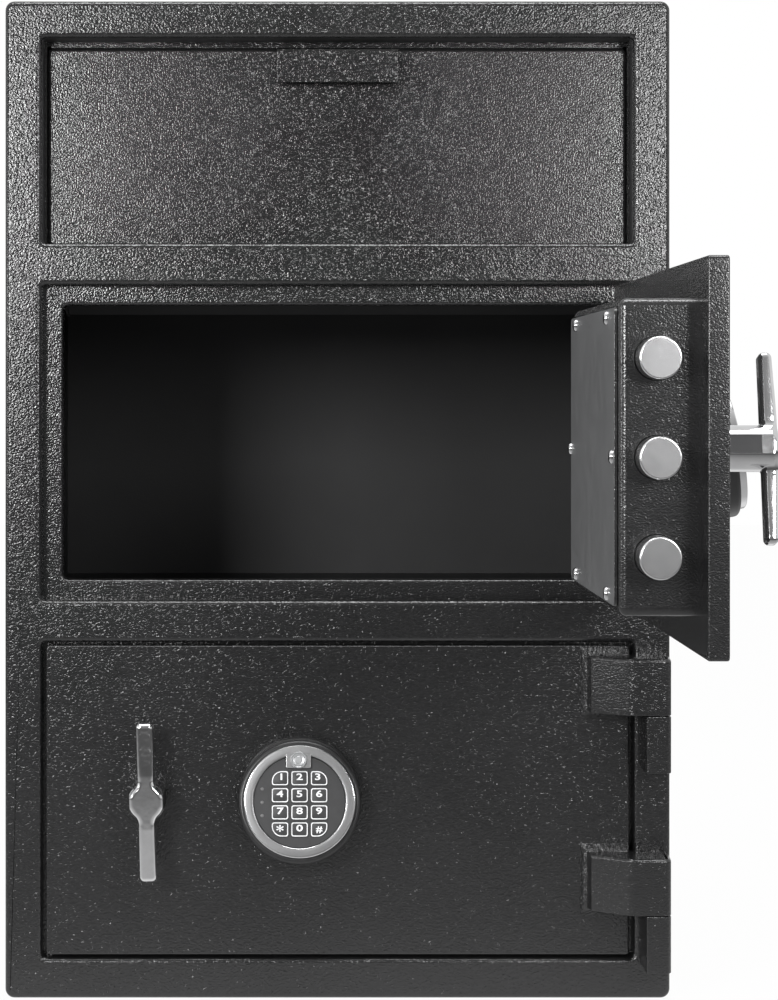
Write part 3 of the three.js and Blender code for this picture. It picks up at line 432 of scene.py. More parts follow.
def window(low_z, high_z, inset, corner_r):
    half = OPENING_HALF_W - inset
    cutter = cuboid("window", (-half, FRONT - CUT_REACH, low_z + inset),
                    (half, FRONT + CUT_REACH, high_z - inset))
    shape(cutter)
    pick("EDGE", lambda e: runs(e, "Y"))
    rounded(corner_r, 4)
    leave()
    return cutter


face_frame = cuboid("face_frame", (-HALF_W, FRONT, 0), (HALF_W, FRAME_BACK, BODY_H))
shape(face_frame)
pick("EDGE", lambda e: runs(e, "Y"))
rounded(BODY_CORNER_R, 6)
leave()
carve(face_frame, *[window(*span, 0, 0.003) for span in (LOWER_OPENING, UPPER_OPENING, HOPPER_OPENING)])
shape(face_frame)
pick("EDGE", lambda e: sharp(e) and at(middle(e).y, FRONT))
rounded(0.0040, 5)
leave()
surround = cuboid(
    "hopper_surround", (-OPENING_HALF_W - SURROUND_T, FRAME_BACK - SURROUND_T, HOPPER_OPENING[0]),
    (OPENING_HALF_W + SURROUND_T, FRAME_BACK + SURROUND_DEPTH, HOPPER_OPENING[1] + SURROUND_T))
carve(surround, cuboid("surround_hollow", (-OPENING_HALF_W, HOLLOW_FRONT, HOLLOW_LOW),
                       (OPENING_HALF_W, HOLLOW_BACK, HOPPER_OPENING[1])))
carve(face_frame, surround, operation="UNION")
strips = [((-OPENING_HALF_W, TOP_STRIP_FRONT, TOP_STRIP_Z[0]), (OPENING_HALF_W, STRIP_BACK, TOP_STRIP_Z[1]))]
for left, right in ((-SIDE_STRIP_X[1], -SIDE_STRIP_X[0]), SIDE_STRIP_X):
    strips.append(((left, SIDE_STRIP_FRONT, SIDE_STRIP_Z[0]), (right, STRIP_BACK, SIDE_STRIP_Z[1])))
for low, high in strips:
    carve(face_frame, cuboid("surround_strip", low, high), operation="UNION")


# The faces inside the hopper's opening wear the dull coat, whose lighter colour is painted light in the
# shaded reveal.
def hopper_reveal_painted_light(face):
    x, y, z = face.center
    across = abs(x) < OPENING_HALF_W + 0.001 and HOPPER_OPENING[0] < z < HOPPER_OPENING[1] + 0.001
    return across and y > FRONT + 0.0035 and abs(face.normal.y) < 0.3


wear(face_frame, black_coat, "body", "black_texture", "front_frame", second=sheet_coat_painted_light,
     where=hopper_reveal_painted_light)

# Door stops. A ring of plate behind the frame narrows each door opening; the door closes against
# its ledge and the bolts hook behind it. Its inner edge is rounded.
STOP_FRONT = -0.2397
STOP_BACK = -0.2282
STOP_LAP = 0.012
LEDGE_W = 0.015
for name, (low_z, high_z), node in (("lower_stop", LOWER_OPENING, "lower_jamb"),
                                    ("upper_stop", UPPER_OPENING, "upper_jamb")):
    ring = cuboid(name, (-OPENING_HALF_W - STOP_LAP, STOP_FRONT, low_z - STOP_LAP),
                  (OPENING_HALF_W + STOP_LAP, STOP_BACK, high_z + STOP_LAP))
    carve(ring, window(low_z, high_z, LEDGE_W, 0.004))
    shape(ring)
    pick("EDGE", lambda e: sharp(e) and at(middle(e).y, STOP_FRONT))
    rounded(0.0025, 4)
    leave()
    wear(ring, black_coat, "body", "black_texture", node)


# Sheets inside the body. The shelf between the compartments, the saw-toothed baffle behind the
# hopper, and the hopper's tray, side plates and brackets all have the duller film of the inside, with
# its lighter colour painted in as bounce light.
def dress(node, material):
    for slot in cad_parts[node].material_slots:
        slot.material = material


for node in ("divider_shelf", "hopper_baffle", "hopper_bracket_left", "hopper_bracket_right",
             "hopper_tray", "hopper_side_left", "hopper_side_right"):
    dress(node, sheet_coat_painted_light)

# Hopper panel. A folded pan whose front edges are rounded; it stands back from the frame's face and
# tilts out on a rod at its foot. A narrow lip of sheet runs along its top edge.
PANEL_LOW = (-0.2235, -0.232, 0.572)
PANEL_HIGH = (0.2235, -0.208, 0.729)
PANEL_WALL = 0.003
PAN_BACK = PANEL_HIGH[1] + 0.018
PAN_FOOT = PANEL_LOW[2] - 0.012
LIP_FRONT = -0.2325
LIP_BACK = -0.2280
LIP_Z = (0.7285, 0.7298)
HOPPER_ROD = (0, -0.221, 0.586)
HOPPER_ROD_R = 0.0045
panel = cuboid("hopper_front", PANEL_LOW, PANEL_HIGH)
shape(panel)
pick("EDGE", lambda e: runs(e, "Y"))
rounded(0.0045, 5)
pick("EDGE", lambda e: sharp(e) and at(middle(e).y, PANEL_LOW[1]))
rounded(0.0034, 5)
leave()
carve(panel,
      cuboid("pan_hollow", (PANEL_LOW[0] + PANEL_WALL, PANEL_LOW[1] + PANEL_WALL, PAN_FOOT),
             (PANEL_HIGH[0] - PANEL_WALL, PAN_BACK, PANEL_HIGH[2] - PANEL_WALL)),
      rod("rod_passage", "X", HOPPER_ROD, HOPPER_ROD_R + 0.0004, 0.6, 32))
lip = cuboid("panel_lip", (PANEL_LOW[0] + PANEL_WALL, LIP_FRONT, LIP_Z[0]),
             (PANEL_HIGH[0] - PANEL_WALL, LIP_BACK, LIP_Z[1]))
shape(lip)
pick("EDGE", lambda e: runs(e, "X") and at(middle(e).y, LIP_FRONT))
rounded(0.0004, 2)
leave()
carve(panel, lip, operation="UNION")
wear(panel, black_coat, "hopper", "black_texture", "hopper_panel")

# Pull. A strip of the same sheet, folded into a channel and welded to the top of the panel; fingers
# go behind its lip, which hangs free.
PULL_HALF_W = 0.0463
PULL_FRONT = -0.246
PULL_BACK = -0.2321
PULL_TOP = 0.7262
PULL_T = 0.003
PULL_LIP_DROP = 0.0225
PULL_FOOT_DROP = 0.009
lip_back = PULL_FRONT + PULL_T
foot_front = PULL_BACK - PULL_T
pull = cuboid("hopper_handle", (-PULL_HALF_W, PULL_FRONT, PULL_TOP - PULL_T),
              (PULL_HALF_W, PULL_BACK, PULL_TOP))
shape(pull)
for y in (lip_back, foot_front):
    bpy.ops.mesh.select_all(action="SELECT")
    bpy.ops.mesh.bisect(plane_co=(0, y, 0), plane_no=(0, 1, 0))
for inside, drop in ((lambda y: y < lip_back, PULL_LIP_DROP), (lambda y: y > foot_front, PULL_FOOT_DROP)):
    pick("FACE", lambda f: f.normal.z < -0.9 and inside(f.calc_center_median().y))
    bpy.ops.mesh.extrude_region_move(TRANSFORM_OT_translate={"value": (0, 0, -drop)})
pick("EDGE", lambda e: sharp(e, 60))
rounded(0.0006, 2)
leave()
wear(pull, black_coat, "hopper", "black_texture", "hopper_pull")


# Turned steel. The hinge pins are plated bar with fine turning marks; the hopper's rod is plain bar,
# painted near black as painted shade for the dark gap behind the panel where it shows.
def plated_steel(name, tone, roughness):
    finish = Finish(name, Metallic=1)
    marks = finish.noise(1400, 2, 0.6)
    stain = finish.noise(30, 3, 0.6)
    finish.feed(finish.shader, {
        "Base Color": finish.ramp(stain, [
            (0.3, tuple(0.86 * c for c in tone) + (1,)), (0.75, tuple(tone) + (1,))]),
        "Roughness": roughness + stain * 0.12,
        "Normal": finish.bump(marks, 0.00003)})
    return finish.material


bright_steel = plated_steel("bright_zinc_plate", (0.46, 0.46, 0.47), 0.26)
rod_steel_painted_shade = plated_steel("oiled_dark_steel", (0.07, 0.07, 0.07), 0.42)
HOPPER_ROD_L = 0.473
pivot = rod("hopper_pivot", "X", HOPPER_ROD, HOPPER_ROD_R, HOPPER_ROD_L)
shape(pivot)
pick("EDGE", lambda e: sharp(e))
rounded(0.0008, 2)
leave()
wear(pivot, rod_steel_painted_shade, "hopper", "steel", "hopper_rod")

# Doors. Both are the same plate of half-inch steel with lightly eased edges. Each piece of a door is
# made once, on the closed lower door, and copied to the upper door, which stands open.
LOWER_Z = 0.1515
DOOR_RISE = 0.273
LEAF_HALF_W = 0.2225
LEAF_Z = (0.0335, 0.2695)
DOOR_BACK = -0.2413
SPINDLE_HOLE_R = 0.0064
CABLE_HOLE_R = 0.005
HANDLE_X = -0.144
HANDLE_Z = LOWER_Z + 0.004
KEYPAD_X = -0.0291
KEYPAD_Z = LOWER_Z + 0.0032
HINGE_X = 0.2405
HINGE_Y = -0.275
hinge_line = Matrix.Translation((HINGE_X, HINGE_Y, 0))
opened = hinge_line @ Matrix.Rotation(math.radians(90), 4, "Z") @ hinge_line.inverted()
to_upper = opened @ Matrix.Translation((0, 0, DOOR_RISE))


def copied(piece, name, move):
    only(piece)
    bpy.ops.object.duplicate()
    twin = bpy.context.active_object
    twin.name = name
    twin.data.name = name
    twin.parent = None
    twin.matrix_world = move
    return settle(twin)


def upper_copy(piece, body, move):
    twin = copied(piece, piece.name.replace("lower", "upper"), move)
    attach(twin, body.replace("lower", "upper"))
    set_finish(twin, piece["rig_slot"])
    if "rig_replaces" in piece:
        nodes = [node.replace("lower", "upper") for node in piece["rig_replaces"]]
        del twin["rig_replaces"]
        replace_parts(twin, *nodes)
    return twin


def both_doors(piece, material, slot, *replaced, body="lower_door", first=Matrix.Identity(4), **options):
    wear(piece, material, body, slot, *replaced, **options)
    return upper_copy(piece, body, to_upper @ first)


plate = cuboid("lower_plate", (-LEAF_HALF_W, FRONT, LEAF_Z[0]), (LEAF_HALF_W, DOOR_BACK, LEAF_Z[1]))
shape(plate)
pick("EDGE", lambda e: runs(e, "Y"))
rounded(0.0025, 4)
leave()
carve(plate, rod("spindle_drill", "Y", (HANDLE_X, FRONT, HANDLE_Z), SPINDLE_HOLE_R, CUT_REACH, 32),
      rod("cable_drill", "Y", (KEYPAD_X, FRONT, KEYPAD_Z), CABLE_HOLE_R, CUT_REACH, 24))
shape(plate)
pick("EDGE", lambda e: sharp(e) and max(abs(middle(e).x), abs(middle(e).z - LOWER_Z)) > 0.11
     and (at(middle(e).y, FRONT) or at(middle(e).y, DOOR_BACK)))
rounded(0.0012, 3)
leave()
both_doors(plate, black_coat, "black_texture", "lower_door_plate", second=fine_coat,
           where=lambda f: abs(f.normal.y) < 0.4)

# Hinges. Each is a pair of solid blocks on a pin: the lower one is welded to the frame, the upper
# one ends in a strap that slopes down to the door's face and is welded to it.
HINGE_SPLITS = {"top": 0.0685, "bottom": -0.0815}
HINGE_HALF_H = 0.043
HINGE_GAP = 0.0003
KNUCKLE_R = 0.0055
BLOCK_OUT = -0.292
BASE_BACK = FRONT - 0.0002
LEAF_BACK = FRONT - 0.0003
BLOCK_LEFT = 0.231
BLOCK_RIGHT = 0.250
STRAP_LEFT = 0.189
STRAP_TOE = 0.003
STRAP_RISE = 0.2195
STRAP_OUT = -0.271
for place, split in HINGE_SPLITS.items():
    z = LOWER_Z + split
    base = cuboid(f"lower_knuckle_{place}", (BLOCK_LEFT, BLOCK_OUT, z - HINGE_HALF_H),
                  (BLOCK_RIGHT, BASE_BACK, z - HINGE_GAP))
    shape(base)
    pick("EDGE", lambda e: runs(e, "Z") and at(middle(e).y, BLOCK_OUT) and e.verts[0].co.x > HINGE_X)
    rounded(KNUCKLE_R, 6)
    pick("EDGE", lambda e: runs(e, "Z") and at(middle(e).y, BLOCK_OUT) and at(e.verts[0].co.x, BLOCK_LEFT))
    rounded(0.0015, 3)
    pick("EDGE", lambda e: sharp(e) and not runs(e, "Z") and middle(e).y < FRONT - 0.001)
    rounded(0.0007, 2)
    leave()
    wear(base, black_coat, "body", "black_texture", f"lower_hinge_base_{place}")
    upper_copy(base, "body", Matrix.Translation((0, 0, DOOR_RISE)))

    leaf = cuboid(f"lower_strap_{place}", (STRAP_LEFT, BLOCK_OUT, z + HINGE_GAP),
                  (BLOCK_RIGHT, LEAF_BACK, z + HINGE_HALF_H))
    shape(leaf)
    bpy.ops.mesh.select_all(action="SELECT")
    bpy.ops.mesh.bisect(plane_co=(STRAP_RISE, 0, 0), plane_no=(1, 0, 0))
    pick("VERT", lambda v: at(v.co.x, STRAP_LEFT) and at(v.co.y, BLOCK_OUT))
    bpy.ops.transform.translate(value=(STRAP_TOE, STRAP_OUT - BLOCK_OUT, 0))
    pick("EDGE", lambda e: runs(e, "Z") and at(e.verts[0].co.x, STRAP_RISE) and at(middle(e).y, BLOCK_OUT))
    rounded(0.0035, 4)
    pick("EDGE", lambda e: runs(e, "Z") and at(e.verts[0].co.x, BLOCK_RIGHT) and at(middle(e).y, BLOCK_OUT))
    rounded(KNUCKLE_R, 6)
    pick("EDGE", lambda e: runs(e, "Z") and at(e.verts[0].co.x, BLOCK_RIGHT) and middle(e).y > FRONT - 0.001)
    rounded(0.0062, 6)
    pick("EDGE", lambda e: runs(e, "Z") and at(e.verts[0].co.x, STRAP_LEFT) and middle(e).y < FRONT - 0.001)
    rounded(0.002, 3)
    pick("EDGE", lambda e: sharp(e) and not runs(e, "Z")
         and middle(e).y < FRONT - 0.001 and middle(e).z < z + 0.01)
    rounded(0.0007, 2)
    pick("EDGE", lambda e: sharp(e) and not runs(e, "Y")
         and middle(e).y < STRAP_OUT - 0.0005 and middle(e).z > z + 0.01)
    rounded(0.0026, 5)
    leave()
    both_doors(leaf, black_coat, "black_texture", f"lower_hinge_leaf_{place}")
    for level in ("lower", "upper"):
        dress(f"{level}_hinge_pin_{place}", bright_steel)


# Welds. A bead runs along the top, the end and the foot of each strap where it meets the door; it
# was coated with the door, and its ripples catch the light.
BEAD_LEG = 0.0062
BEAD_END_LEG = 0.0042
BEAD_RIGHT = 0.2220
BEAD_ROOT = FRONT + 0.0006
bead_coat = hammered_coat("bead_black_coat", 700, 0.00095, 0.12)
ripple = bpy.data.textures.new("bead_ripple", "CLOUDS")
ripple.noise_scale = 0.0024
ripple.noise_depth = 1
for place, split in HINGE_SPLITS.items():
    low_z = LOWER_Z + split + HINGE_GAP
    high_z = LOWER_Z + split + HINGE_HALF_H
    bead = cuboid(f"lower_weld_{place}", (STRAP_LEFT - BEAD_END_LEG, FRONT - BEAD_LEG, low_z - BEAD_LEG),
                  (BEAD_RIGHT, BEAD_ROOT, high_z + BEAD_LEG))
    shape(bead)
    pick("VERT", lambda v: v.co.y < FRONT - 0.001 and v.co.z > high_z)
    bpy.ops.transform.translate(value=(0, 0, -BEAD_LEG))
    pick("VERT", lambda v: v.co.y < FRONT - 0.001 and v.co.z < low_z)
    bpy.ops.transform.translate(value=(0, 0, BEAD_LEG))
    pick("VERT", lambda v: v.co.y < FRONT - 0.001 and v.co.x < STRAP_LEFT)
    bpy.ops.transform.translate(value=(BEAD_END_LEG, 0, 0))
    pick("EDGE", lambda e: at(middle(e).y, FRONT - BEAD_LEG) and middle(e).x < BEAD_RIGHT - 0.001)
    rounded(0.0042, 5)
    leave()
    apply_modifier(bead, "REMESH", mode="VOXEL", voxel_size=0.0007, use_smooth_shade=True)
    apply_modifier(bead, "SMOOTH", factor=0.5, iterations=6)
    apply_modifier(bead, "DISPLACE", texture=ripple, texture_coords="LOCAL", strength=0.0015, mid_level=0.45)
    both_doors(bead, bead_coat, "black_texture", smooth=80, weighted=False)


# Lock box. Folded sheet welded to the door's inside; it houses the bolts and the lock. The bolts
# pass through three clearance holes in its free side.
BOX_LOW = (-0.1975, DOOR_BACK, LOWER_Z - 0.094)
BOX_HIGH = (0.0545, -0.1926, LOWER_Z + 0.094)
BOX_WALL = 0.0025
BOX_RIM = 0.014
MOUTH_Y = (-0.21, -0.18)
BOLT_Y = FRONT + 0.0127 + 0.0267
BOLT_PITCH = 0.0584
BOLT_RADIUS = 0.0127
BOLT_PLAY = 0.0005
box = cuboid("lower_box", BOX_LOW, BOX_HIGH)
shape(box)
pick("EDGE", lambda e: runs(e, "Y"))
rounded(0.0055, 5)
pick("EDGE", lambda e: sharp(e) and at(middle(e).y, BOX_HIGH[1]))
rounded(0.005, 5)
pick("FACE", lambda f: f.normal.y < -0.9)
bpy.ops.mesh.delete(type="FACE")
leave()
apply_modifier(box, "SOLIDIFY", thickness=BOX_WALL, offset=-1, use_even_offset=True)
carve(box, cuboid("box_mouth", (BOX_LOW[0] + BOX_RIM, MOUTH_Y[0], BOX_LOW[2] + BOX_RIM),
                  (BOX_HIGH[0] - BOX_RIM, MOUTH_Y[1], BOX_HIGH[2] - BOX_RIM)),
      *[rod("bolt_drill", "X", (BOX_LOW[0], BOLT_Y, LOWER_Z + i * BOLT_PITCH),
            BOLT_RADIUS + BOLT_PLAY, 0.02, 64) for i in (-1, 0, 1)])
both_doors(box, fine_coat, "black_texture", "lower_lock_box")


# Cover. A flat sheet with round corners in smooth dark satin paint. It lies over the box's mouth,
# held by six chromed pan-head screws with crossed recesses.
def satin_paint(name):
    finish = Finish(name, Specular_IOR_Level=0.5)
    mottle = finish.noise(60, 4, 0.6)
    film = finish.noise(1800, 2, 0.5)
    finish.feed(finish.shader, {
        "Base Color": finish.ramp(mottle, [
            (0.3, (0.094, 0.095, 0.097, 1)), (0.7, (0.114, 0.115, 0.117, 1))]),
        "Roughness": 0.36 + mottle * 0.10,
        "Normal": finish.bump(film, 0.00003)})
    return finish.material


satin_cover = satin_paint("dark_grey_satin")
COVER_FRONT = -0.1923
COVER_BACK = -0.1903
COVER_INSET = 0.0055
cover = cuboid("lower_cover", (BOX_LOW[0] + COVER_INSET, COVER_FRONT, BOX_LOW[2] + COVER_INSET),
               (BOX_HIGH[0] - COVER_INSET, COVER_BACK, BOX_HIGH[2] - COVER_INSET))
shape(cover)
pick("EDGE", lambda e: runs(e, "Y"))
rounded(0.005, 5)
pick("EDGE", lambda e: sharp(e) and at(middle(e).y, COVER_BACK))
rounded(0.0005, 2)
leave()
both_doors(cover, satin_cover, "satin_cover", "lower_lock_box_cover", second=fine_coat,
           where=lambda f: abs(f.normal.y) < 0.5)


def chrome_plate(name, tone, roughness, wave):
    finish = Finish(name, Metallic=1)
    waviness = finish.noise(90, 2, 0.5)
    haze = finish.noise(400, 3, 0.6)
    finish.feed(finish.shader, {
        "Base Color": finish.ramp(waviness, [
            (0.3, (0.95 * tone, 0.95 * tone, 0.96 * tone, 1)),
            (0.7, (1.05 * tone, 1.05 * tone, 1.06 * tone, 1))]),
        "Roughness": roughness + haze * 0.05,
        "Normal": finish.bump(waviness, wave)})
    return finish.material


bright_chrome = chrome_plate("bright_chrome", 0.74, 0.05, 0.0001)
satin_chrome = chrome_plate("satin_chrome", 0.86, 0.20, 0.00004)
SCREW_PLACES = [(-0.160, 0.083), (0.012, 0.083), (-0.160, -0.083), (0.012, -0.083),
                (-0.1865, 0), (0.0435, 0)]
SCREW_RADIUS = 0.0042
SCREW_H = 0.0025
RECESS_FLOOR = COVER_BACK + 0.0012
RECESS_MOUTH = COVER_BACK + 0.004
RECESS_HALF_L = 0.0022
RECESS_HALF_W = 0.0004
screw = rod("screw_head", "Y", (0, COVER_BACK + SCREW_H / 2, 0), SCREW_RADIUS, SCREW_H, 32)
shape(screw)
pick("EDGE", lambda e: sharp(e) and middle(e).y > COVER_BACK + 0.002)
rounded(0.0018, 4)
leave()
for half_x, half_z in ((RECESS_HALF_L, RECESS_HALF_W), (RECESS_HALF_W, RECESS_HALF_L)):
    carve(screw, cuboid("recess", (-half_x, RECESS_FLOOR, -half_z), (half_x, RECESS_MOUTH, half_z)))
for number, (x, dz) in enumerate(SCREW_PLACES, 1):
    head = copied(screw, f"lower_screw_{number}", Matrix.Translation((x, 0, LOWER_Z + dz)))
    both_doors(head, bright_chrome, "chrome", smooth=50)
bpy.data.objects.remove(screw)

# Bolts. Three chromed bars, an inch across, with a turned chamfer at the tip. A quarter turn of the
# handle draws them in through the crank. Those of the open door stand a little way in.
BOLT_REACH = 0.024
BOLT_TIP = BOX_LOW[0] - BOLT_REACH
BOLT_LENGTH = 0.081
CRANK_R = 0.0156
QUARTER_TURN = 90
STROKE = 2 * CRANK_R * math.sin(math.radians(QUARTER_TURN / 2))
UPPER_HANDLE_TURN = 13
drawn = Matrix.Translation((STROKE * UPPER_HANDLE_TURN / QUARTER_TURN, 0, 0))
for i, place in ((1, "top"), (0, "middle"), (-1, "bottom")):
    bolt = rod(f"lower_bar_{place}", "X", (BOLT_TIP + BOLT_LENGTH / 2, BOLT_Y, LOWER_Z + i * BOLT_PITCH),
               BOLT_RADIUS, BOLT_LENGTH, 72)
    shape(bolt)
    pick("EDGE", lambda e: sharp(e) and middle(e).x < BOLT_TIP + 0.01)
    rounded(0.0013, 3)
    leave()
    both_doors(bolt, satin_chrome, "chrome", f"lower_bolt_{place}", body="lower_boltwork", first=drawn)
for level in ("lower", "upper"):
    for node in ("bolt_carriage", "bolt_guide", "lock_bolt", "spindle", "crank"):
        dress(f"{level}_{node}", bright_steel)

# Lock body. A zinc die casting, screwed to the door's inside under the cover, with a faint golden
# passivation.
cast_zinc = plated_steel("passivated_zinc", (0.44, 0.42, 0.34), 0.36)
for level in ("lower", "upper"):
    dress(f"{level}_lock_body", cast_zinc)

# Handle. A chromed casting: two arms with chamfered edges swell into a round hub, on a stout stem
# with a matte flat on either side. One remesh of bar and stem gives the casting's small fillets.
HANDLE_OUT = 0.042
ARM_FRONT = FRONT - HANDLE_OUT + 0.0006
ARM_T = 0.010
ARM_BACK = ARM_FRONT + ARM_T
ARM_HALF_L = 0.0595
ARM_HALF_W = 0.0061
ARM_FLARE = 0.0004
ARM_CHAMFER = 0.0021
STEM_R = 0.01425
STEM_SINK = 0.0034
HALF_ACROSS_FLATS = 0.013
HUB_R = 0.0135
HUB_END = 0.0100
HOLLOW_R = 0.009
HOLLOW_X = 0.0151
HOLLOW_Z = 0.01668
LEVER_STEPS = [i * 0.00125 for i in range(17)] + [0.030, 0.042, ARM_HALF_L]
SWEEP_BACK = ((ARM_HALF_L - 0.003, 0.0016), (0.042, 0.0010), (0.030, 0.0004))


def lever_half_width(z):
    along = abs(z)
    if along < HUB_END:
        return min(HALF_ACROSS_FLATS, math.sqrt(HUB_R ** 2 - along ** 2))
    if along < HOLLOW_Z:
        return HOLLOW_X - math.sqrt(HOLLOW_R ** 2 - (along - HOLLOW_Z) ** 2)
    return ARM_HALF_W + ARM_FLARE * along / ARM_HALF_L


bar = cuboid("lower_lever", (-0.5, ARM_FRONT, -ARM_HALF_L), (0.5, ARM_BACK, ARM_HALF_L))
shape(bar)
for z in sorted({side * z for z in LEVER_STEPS[:-1] for side in (1, -1)}):
    bpy.ops.mesh.select_all(action="SELECT")
    bpy.ops.mesh.bisect(plane_co=(0, 0, z), plane_no=(0, 0, 1))
for z in sorted({side * z for z in LEVER_STEPS for side in (1, -1)}):
    pick("VERT", lambda v: at(v.co.z, z, 0.0005))
    bpy.ops.transform.resize(value=(lever_half_width(z) / 0.5, 1, 1), center_override=(0, ARM_FRONT, 0))
pick("EDGE", lambda e: runs(e, "Y") and at(abs(middle(e).z), ARM_HALF_L))
rounded(0.0035, 5)
pick("EDGE", sharp)
bpy.ops.mesh.bevel(offset=ARM_CHAMFER, offset_type="OFFSET", segments=1, affect="EDGES")
pick("EDGE", lambda e: sharp(e, 30))
rounded(0.0009, 3)
for z, back in SWEEP_BACK:
    pick("VERT", lambda v: at(abs(v.co.z), z, 0.0031) and v.co.y < ARM_FRONT + 0.004)
    bpy.ops.transform.translate(value=(0, back, 0))
leave()
bar.matrix_world = Matrix.Translation((HANDLE_X, 0, HANDLE_Z))
settle(bar)
stem = rod("lever_stem", "Y", (HANDLE_X, (ARM_FRONT + STEM_SINK + FRONT) / 2, HANDLE_Z), STEM_R,
           FRONT - ARM_FRONT - STEM_SINK, 96)
FLAT_CUT = 0.010
for side in (-1, 1):
    cut_x = HANDLE_X + side * (HALF_ACROSS_FLATS + FLAT_CUT / 2)
    carve(stem, cuboid("stem_flat", (cut_x - FLAT_CUT / 2, ARM_FRONT - 0.01, HANDLE_Z - 0.02),
                       (cut_x + FLAT_CUT / 2, FRONT + 0.01, HANDLE_Z + 0.02)))
carve(bar, stem, operation="UNION")
apply_modifier(bar, "REMESH", mode="VOXEL", voxel_size=0.0005, use_smooth_shade=True)
apply_modifier(bar, "SMOOTH", factor=0.5, iterations=7)
LOWER_LEAN = -1.5


def lever_turn(degrees):
    return (Matrix.Translation((HANDLE_X, 0, HANDLE_Z)) @ Matrix.Rotation(math.radians(degrees), 4, "Y")
            @ Matrix.Translation((-HANDLE_X, 0, -HANDLE_Z)))


bar.matrix_world = lever_turn(LOWER_LEAN)
settle(bar)
milled_flat = plated_steel("milled_flat", (0.045, 0.045, 0.046), 0.38)
both_doors(bar, bright_chrome, "chrome", "lower_handle", body="lower_handle_set",
           first=lever_turn(UPPER_HANDLE_TURN - LOWER_LEAN), smooth=60, weighted=False, second=milled_flat,
           where=lambda f: abs(f.normal.x) > 0.985 and f.center.y > ARM_BACK + 0.0012)


# Keypad housing. A round moulding of black plastic on the door's face. It's deeper at its foot, so
# that the keys lean back, and its front rim is rounded.
def moulded_plastic(name, tone, roughness):
    finish = Finish(name, Specular_IOR_Level=0.5)
    grain = finish.noise(3200, 2, 0.5)
    dust = finish.noise(120, 4, 0.65)
    finish.feed(finish.shader, {
        "Base Color": finish.ramp(dust, [
            (0.35, tuple(tone) + (1,)), (0.75, tuple(1.35 * c for c in tone) + (1,))]),
        "Roughness": roughness + dust * 0.1,
        "Normal": finish.bump(grain, 0.00002)})
    return finish.material


black_plastic = moulded_plastic("black_moulding", (0.012, 0.012, 0.0125), 0.28)
KEYPAD_R = 0.04625
FOOT_EXTRA = 0.0174
LEAN = math.atan(FOOT_EXTRA / (2 * KEYPAD_R))
MIDDLE_OUT = 0.0284
RIM_DEPTH = 0.008
DRUM_R = KEYPAD_R - 0.00075
DRUM_MIDDLE = FRONT - 0.030
DRUM_LENGTH = 0.0594
lean = Matrix.Translation((KEYPAD_X, FRONT - MIDDLE_OUT, KEYPAD_Z)) @ Matrix.Rotation(-LEAN, 4, "X")
drum = rod("lower_keypad_drum", "Y", (KEYPAD_X, DRUM_MIDDLE, KEYPAD_Z), DRUM_R, DRUM_LENGTH, 96)
shape(drum)
bpy.ops.mesh.select_all(action="SELECT")
cap_point = lean @ Vector((0, RIM_DEPTH, 0))
cap_normal = lean.to_3x3() @ Vector((0, -1, 0))
bpy.ops.mesh.bisect(plane_co=cap_point, plane_no=cap_normal, clear_outer=True, use_fill=True)
leave()
rim = rod("keypad_rim", "Y", (0, RIM_DEPTH / 2, 0), KEYPAD_R, RIM_DEPTH, 96)
shape(rim)
pick("EDGE", lambda e: sharp(e) and middle(e).y < RIM_DEPTH / 2)
rounded(0.003, 5)
leave()
rim.matrix_world = lean
settle(rim)
carve(drum, rim, operation="UNION")
both_doors(drum, black_plastic, "black_plastic", "lower_keypad_housing")

# Keypad ring. A flat ring with a satin face and bright rounded edges, which holds the key field; it has
# a tab at its top that carries a round lens.
RING_MIDDLE_R = 0.03825
RING_FACE_HALF_W = 0.0030
RING_PROFILE = [(0.0420, -0.0003), (0.0420, -0.0040), (0.0418, -0.0044), (0.0415, -0.0046),
                (0.0411, -0.0047), (0.0395, -0.00475), (0.0375, -0.0048), (0.0356, -0.0048),
                (0.0351, -0.0046), (0.0348, -0.0043), (0.0346, -0.0038), (0.0345, -0.0003)]
TAB_X = (-0.0101, 0.0087)
TAB_FRONT = -0.0053
TAB_BACK = -0.0035
TAB_FOOT = 0.0248
TAB_TOP = 0.0356
bpy.ops.object.select_all(action="DESELECT")
bpy.ops.mesh.primitive_plane_add(size=0.01)
trim = bpy.context.active_object
trim.name = "lower_keypad_trim"
trim_mesh = bmesh.new()
corners = [trim_mesh.verts.new((x, y, 0)) for x, y in RING_PROFILE]
for first, second in zip(corners, corners[1:] + corners[:1]):
    trim_mesh.edges.new((first, second))
trim_mesh.to_mesh(trim.data)
trim_mesh.free()
shape(trim)
bpy.ops.mesh.select_all(action="SELECT")
bpy.ops.mesh.spin(steps=96, angle=math.radians(360), center=(0, 0, 0), axis=(0, 1, 0))
bpy.ops.mesh.select_all(action="SELECT")
bpy.ops.mesh.remove_doubles(threshold=0.00002)
bpy.ops.mesh.normals_make_consistent(inside=False)
leave()
tab = cuboid("keypad_tab", (TAB_X[0], TAB_FRONT, TAB_FOOT), (TAB_X[1], TAB_BACK, TAB_TOP))
shape(tab)
pick("EDGE", lambda e: runs(e, "Y"))
rounded(0.0012, 3)
pick("EDGE", lambda e: sharp(e) and at(middle(e).y, TAB_FRONT))
rounded(0.0004, 2)
leave()
carve(trim, tab, operation="UNION")
trim.matrix_world = lean
settle(trim)
ring_satin = chrome_plate("ring_satin", 0.34, 0.28, 0.00004)
from_ring = lean.inverted()


def ring_edge(face):
    place = from_ring @ face.center
    off_middle = abs(math.hypot(place.x, place.z) - RING_MIDDLE_R)
    return place.z < TAB_FOOT - 0.0008 and off_middle > RING_FACE_HALF_W


both_doors(trim, ring_satin, "chrome", "lower_keypad_ring", second=bright_chrome, where=ring_edge)


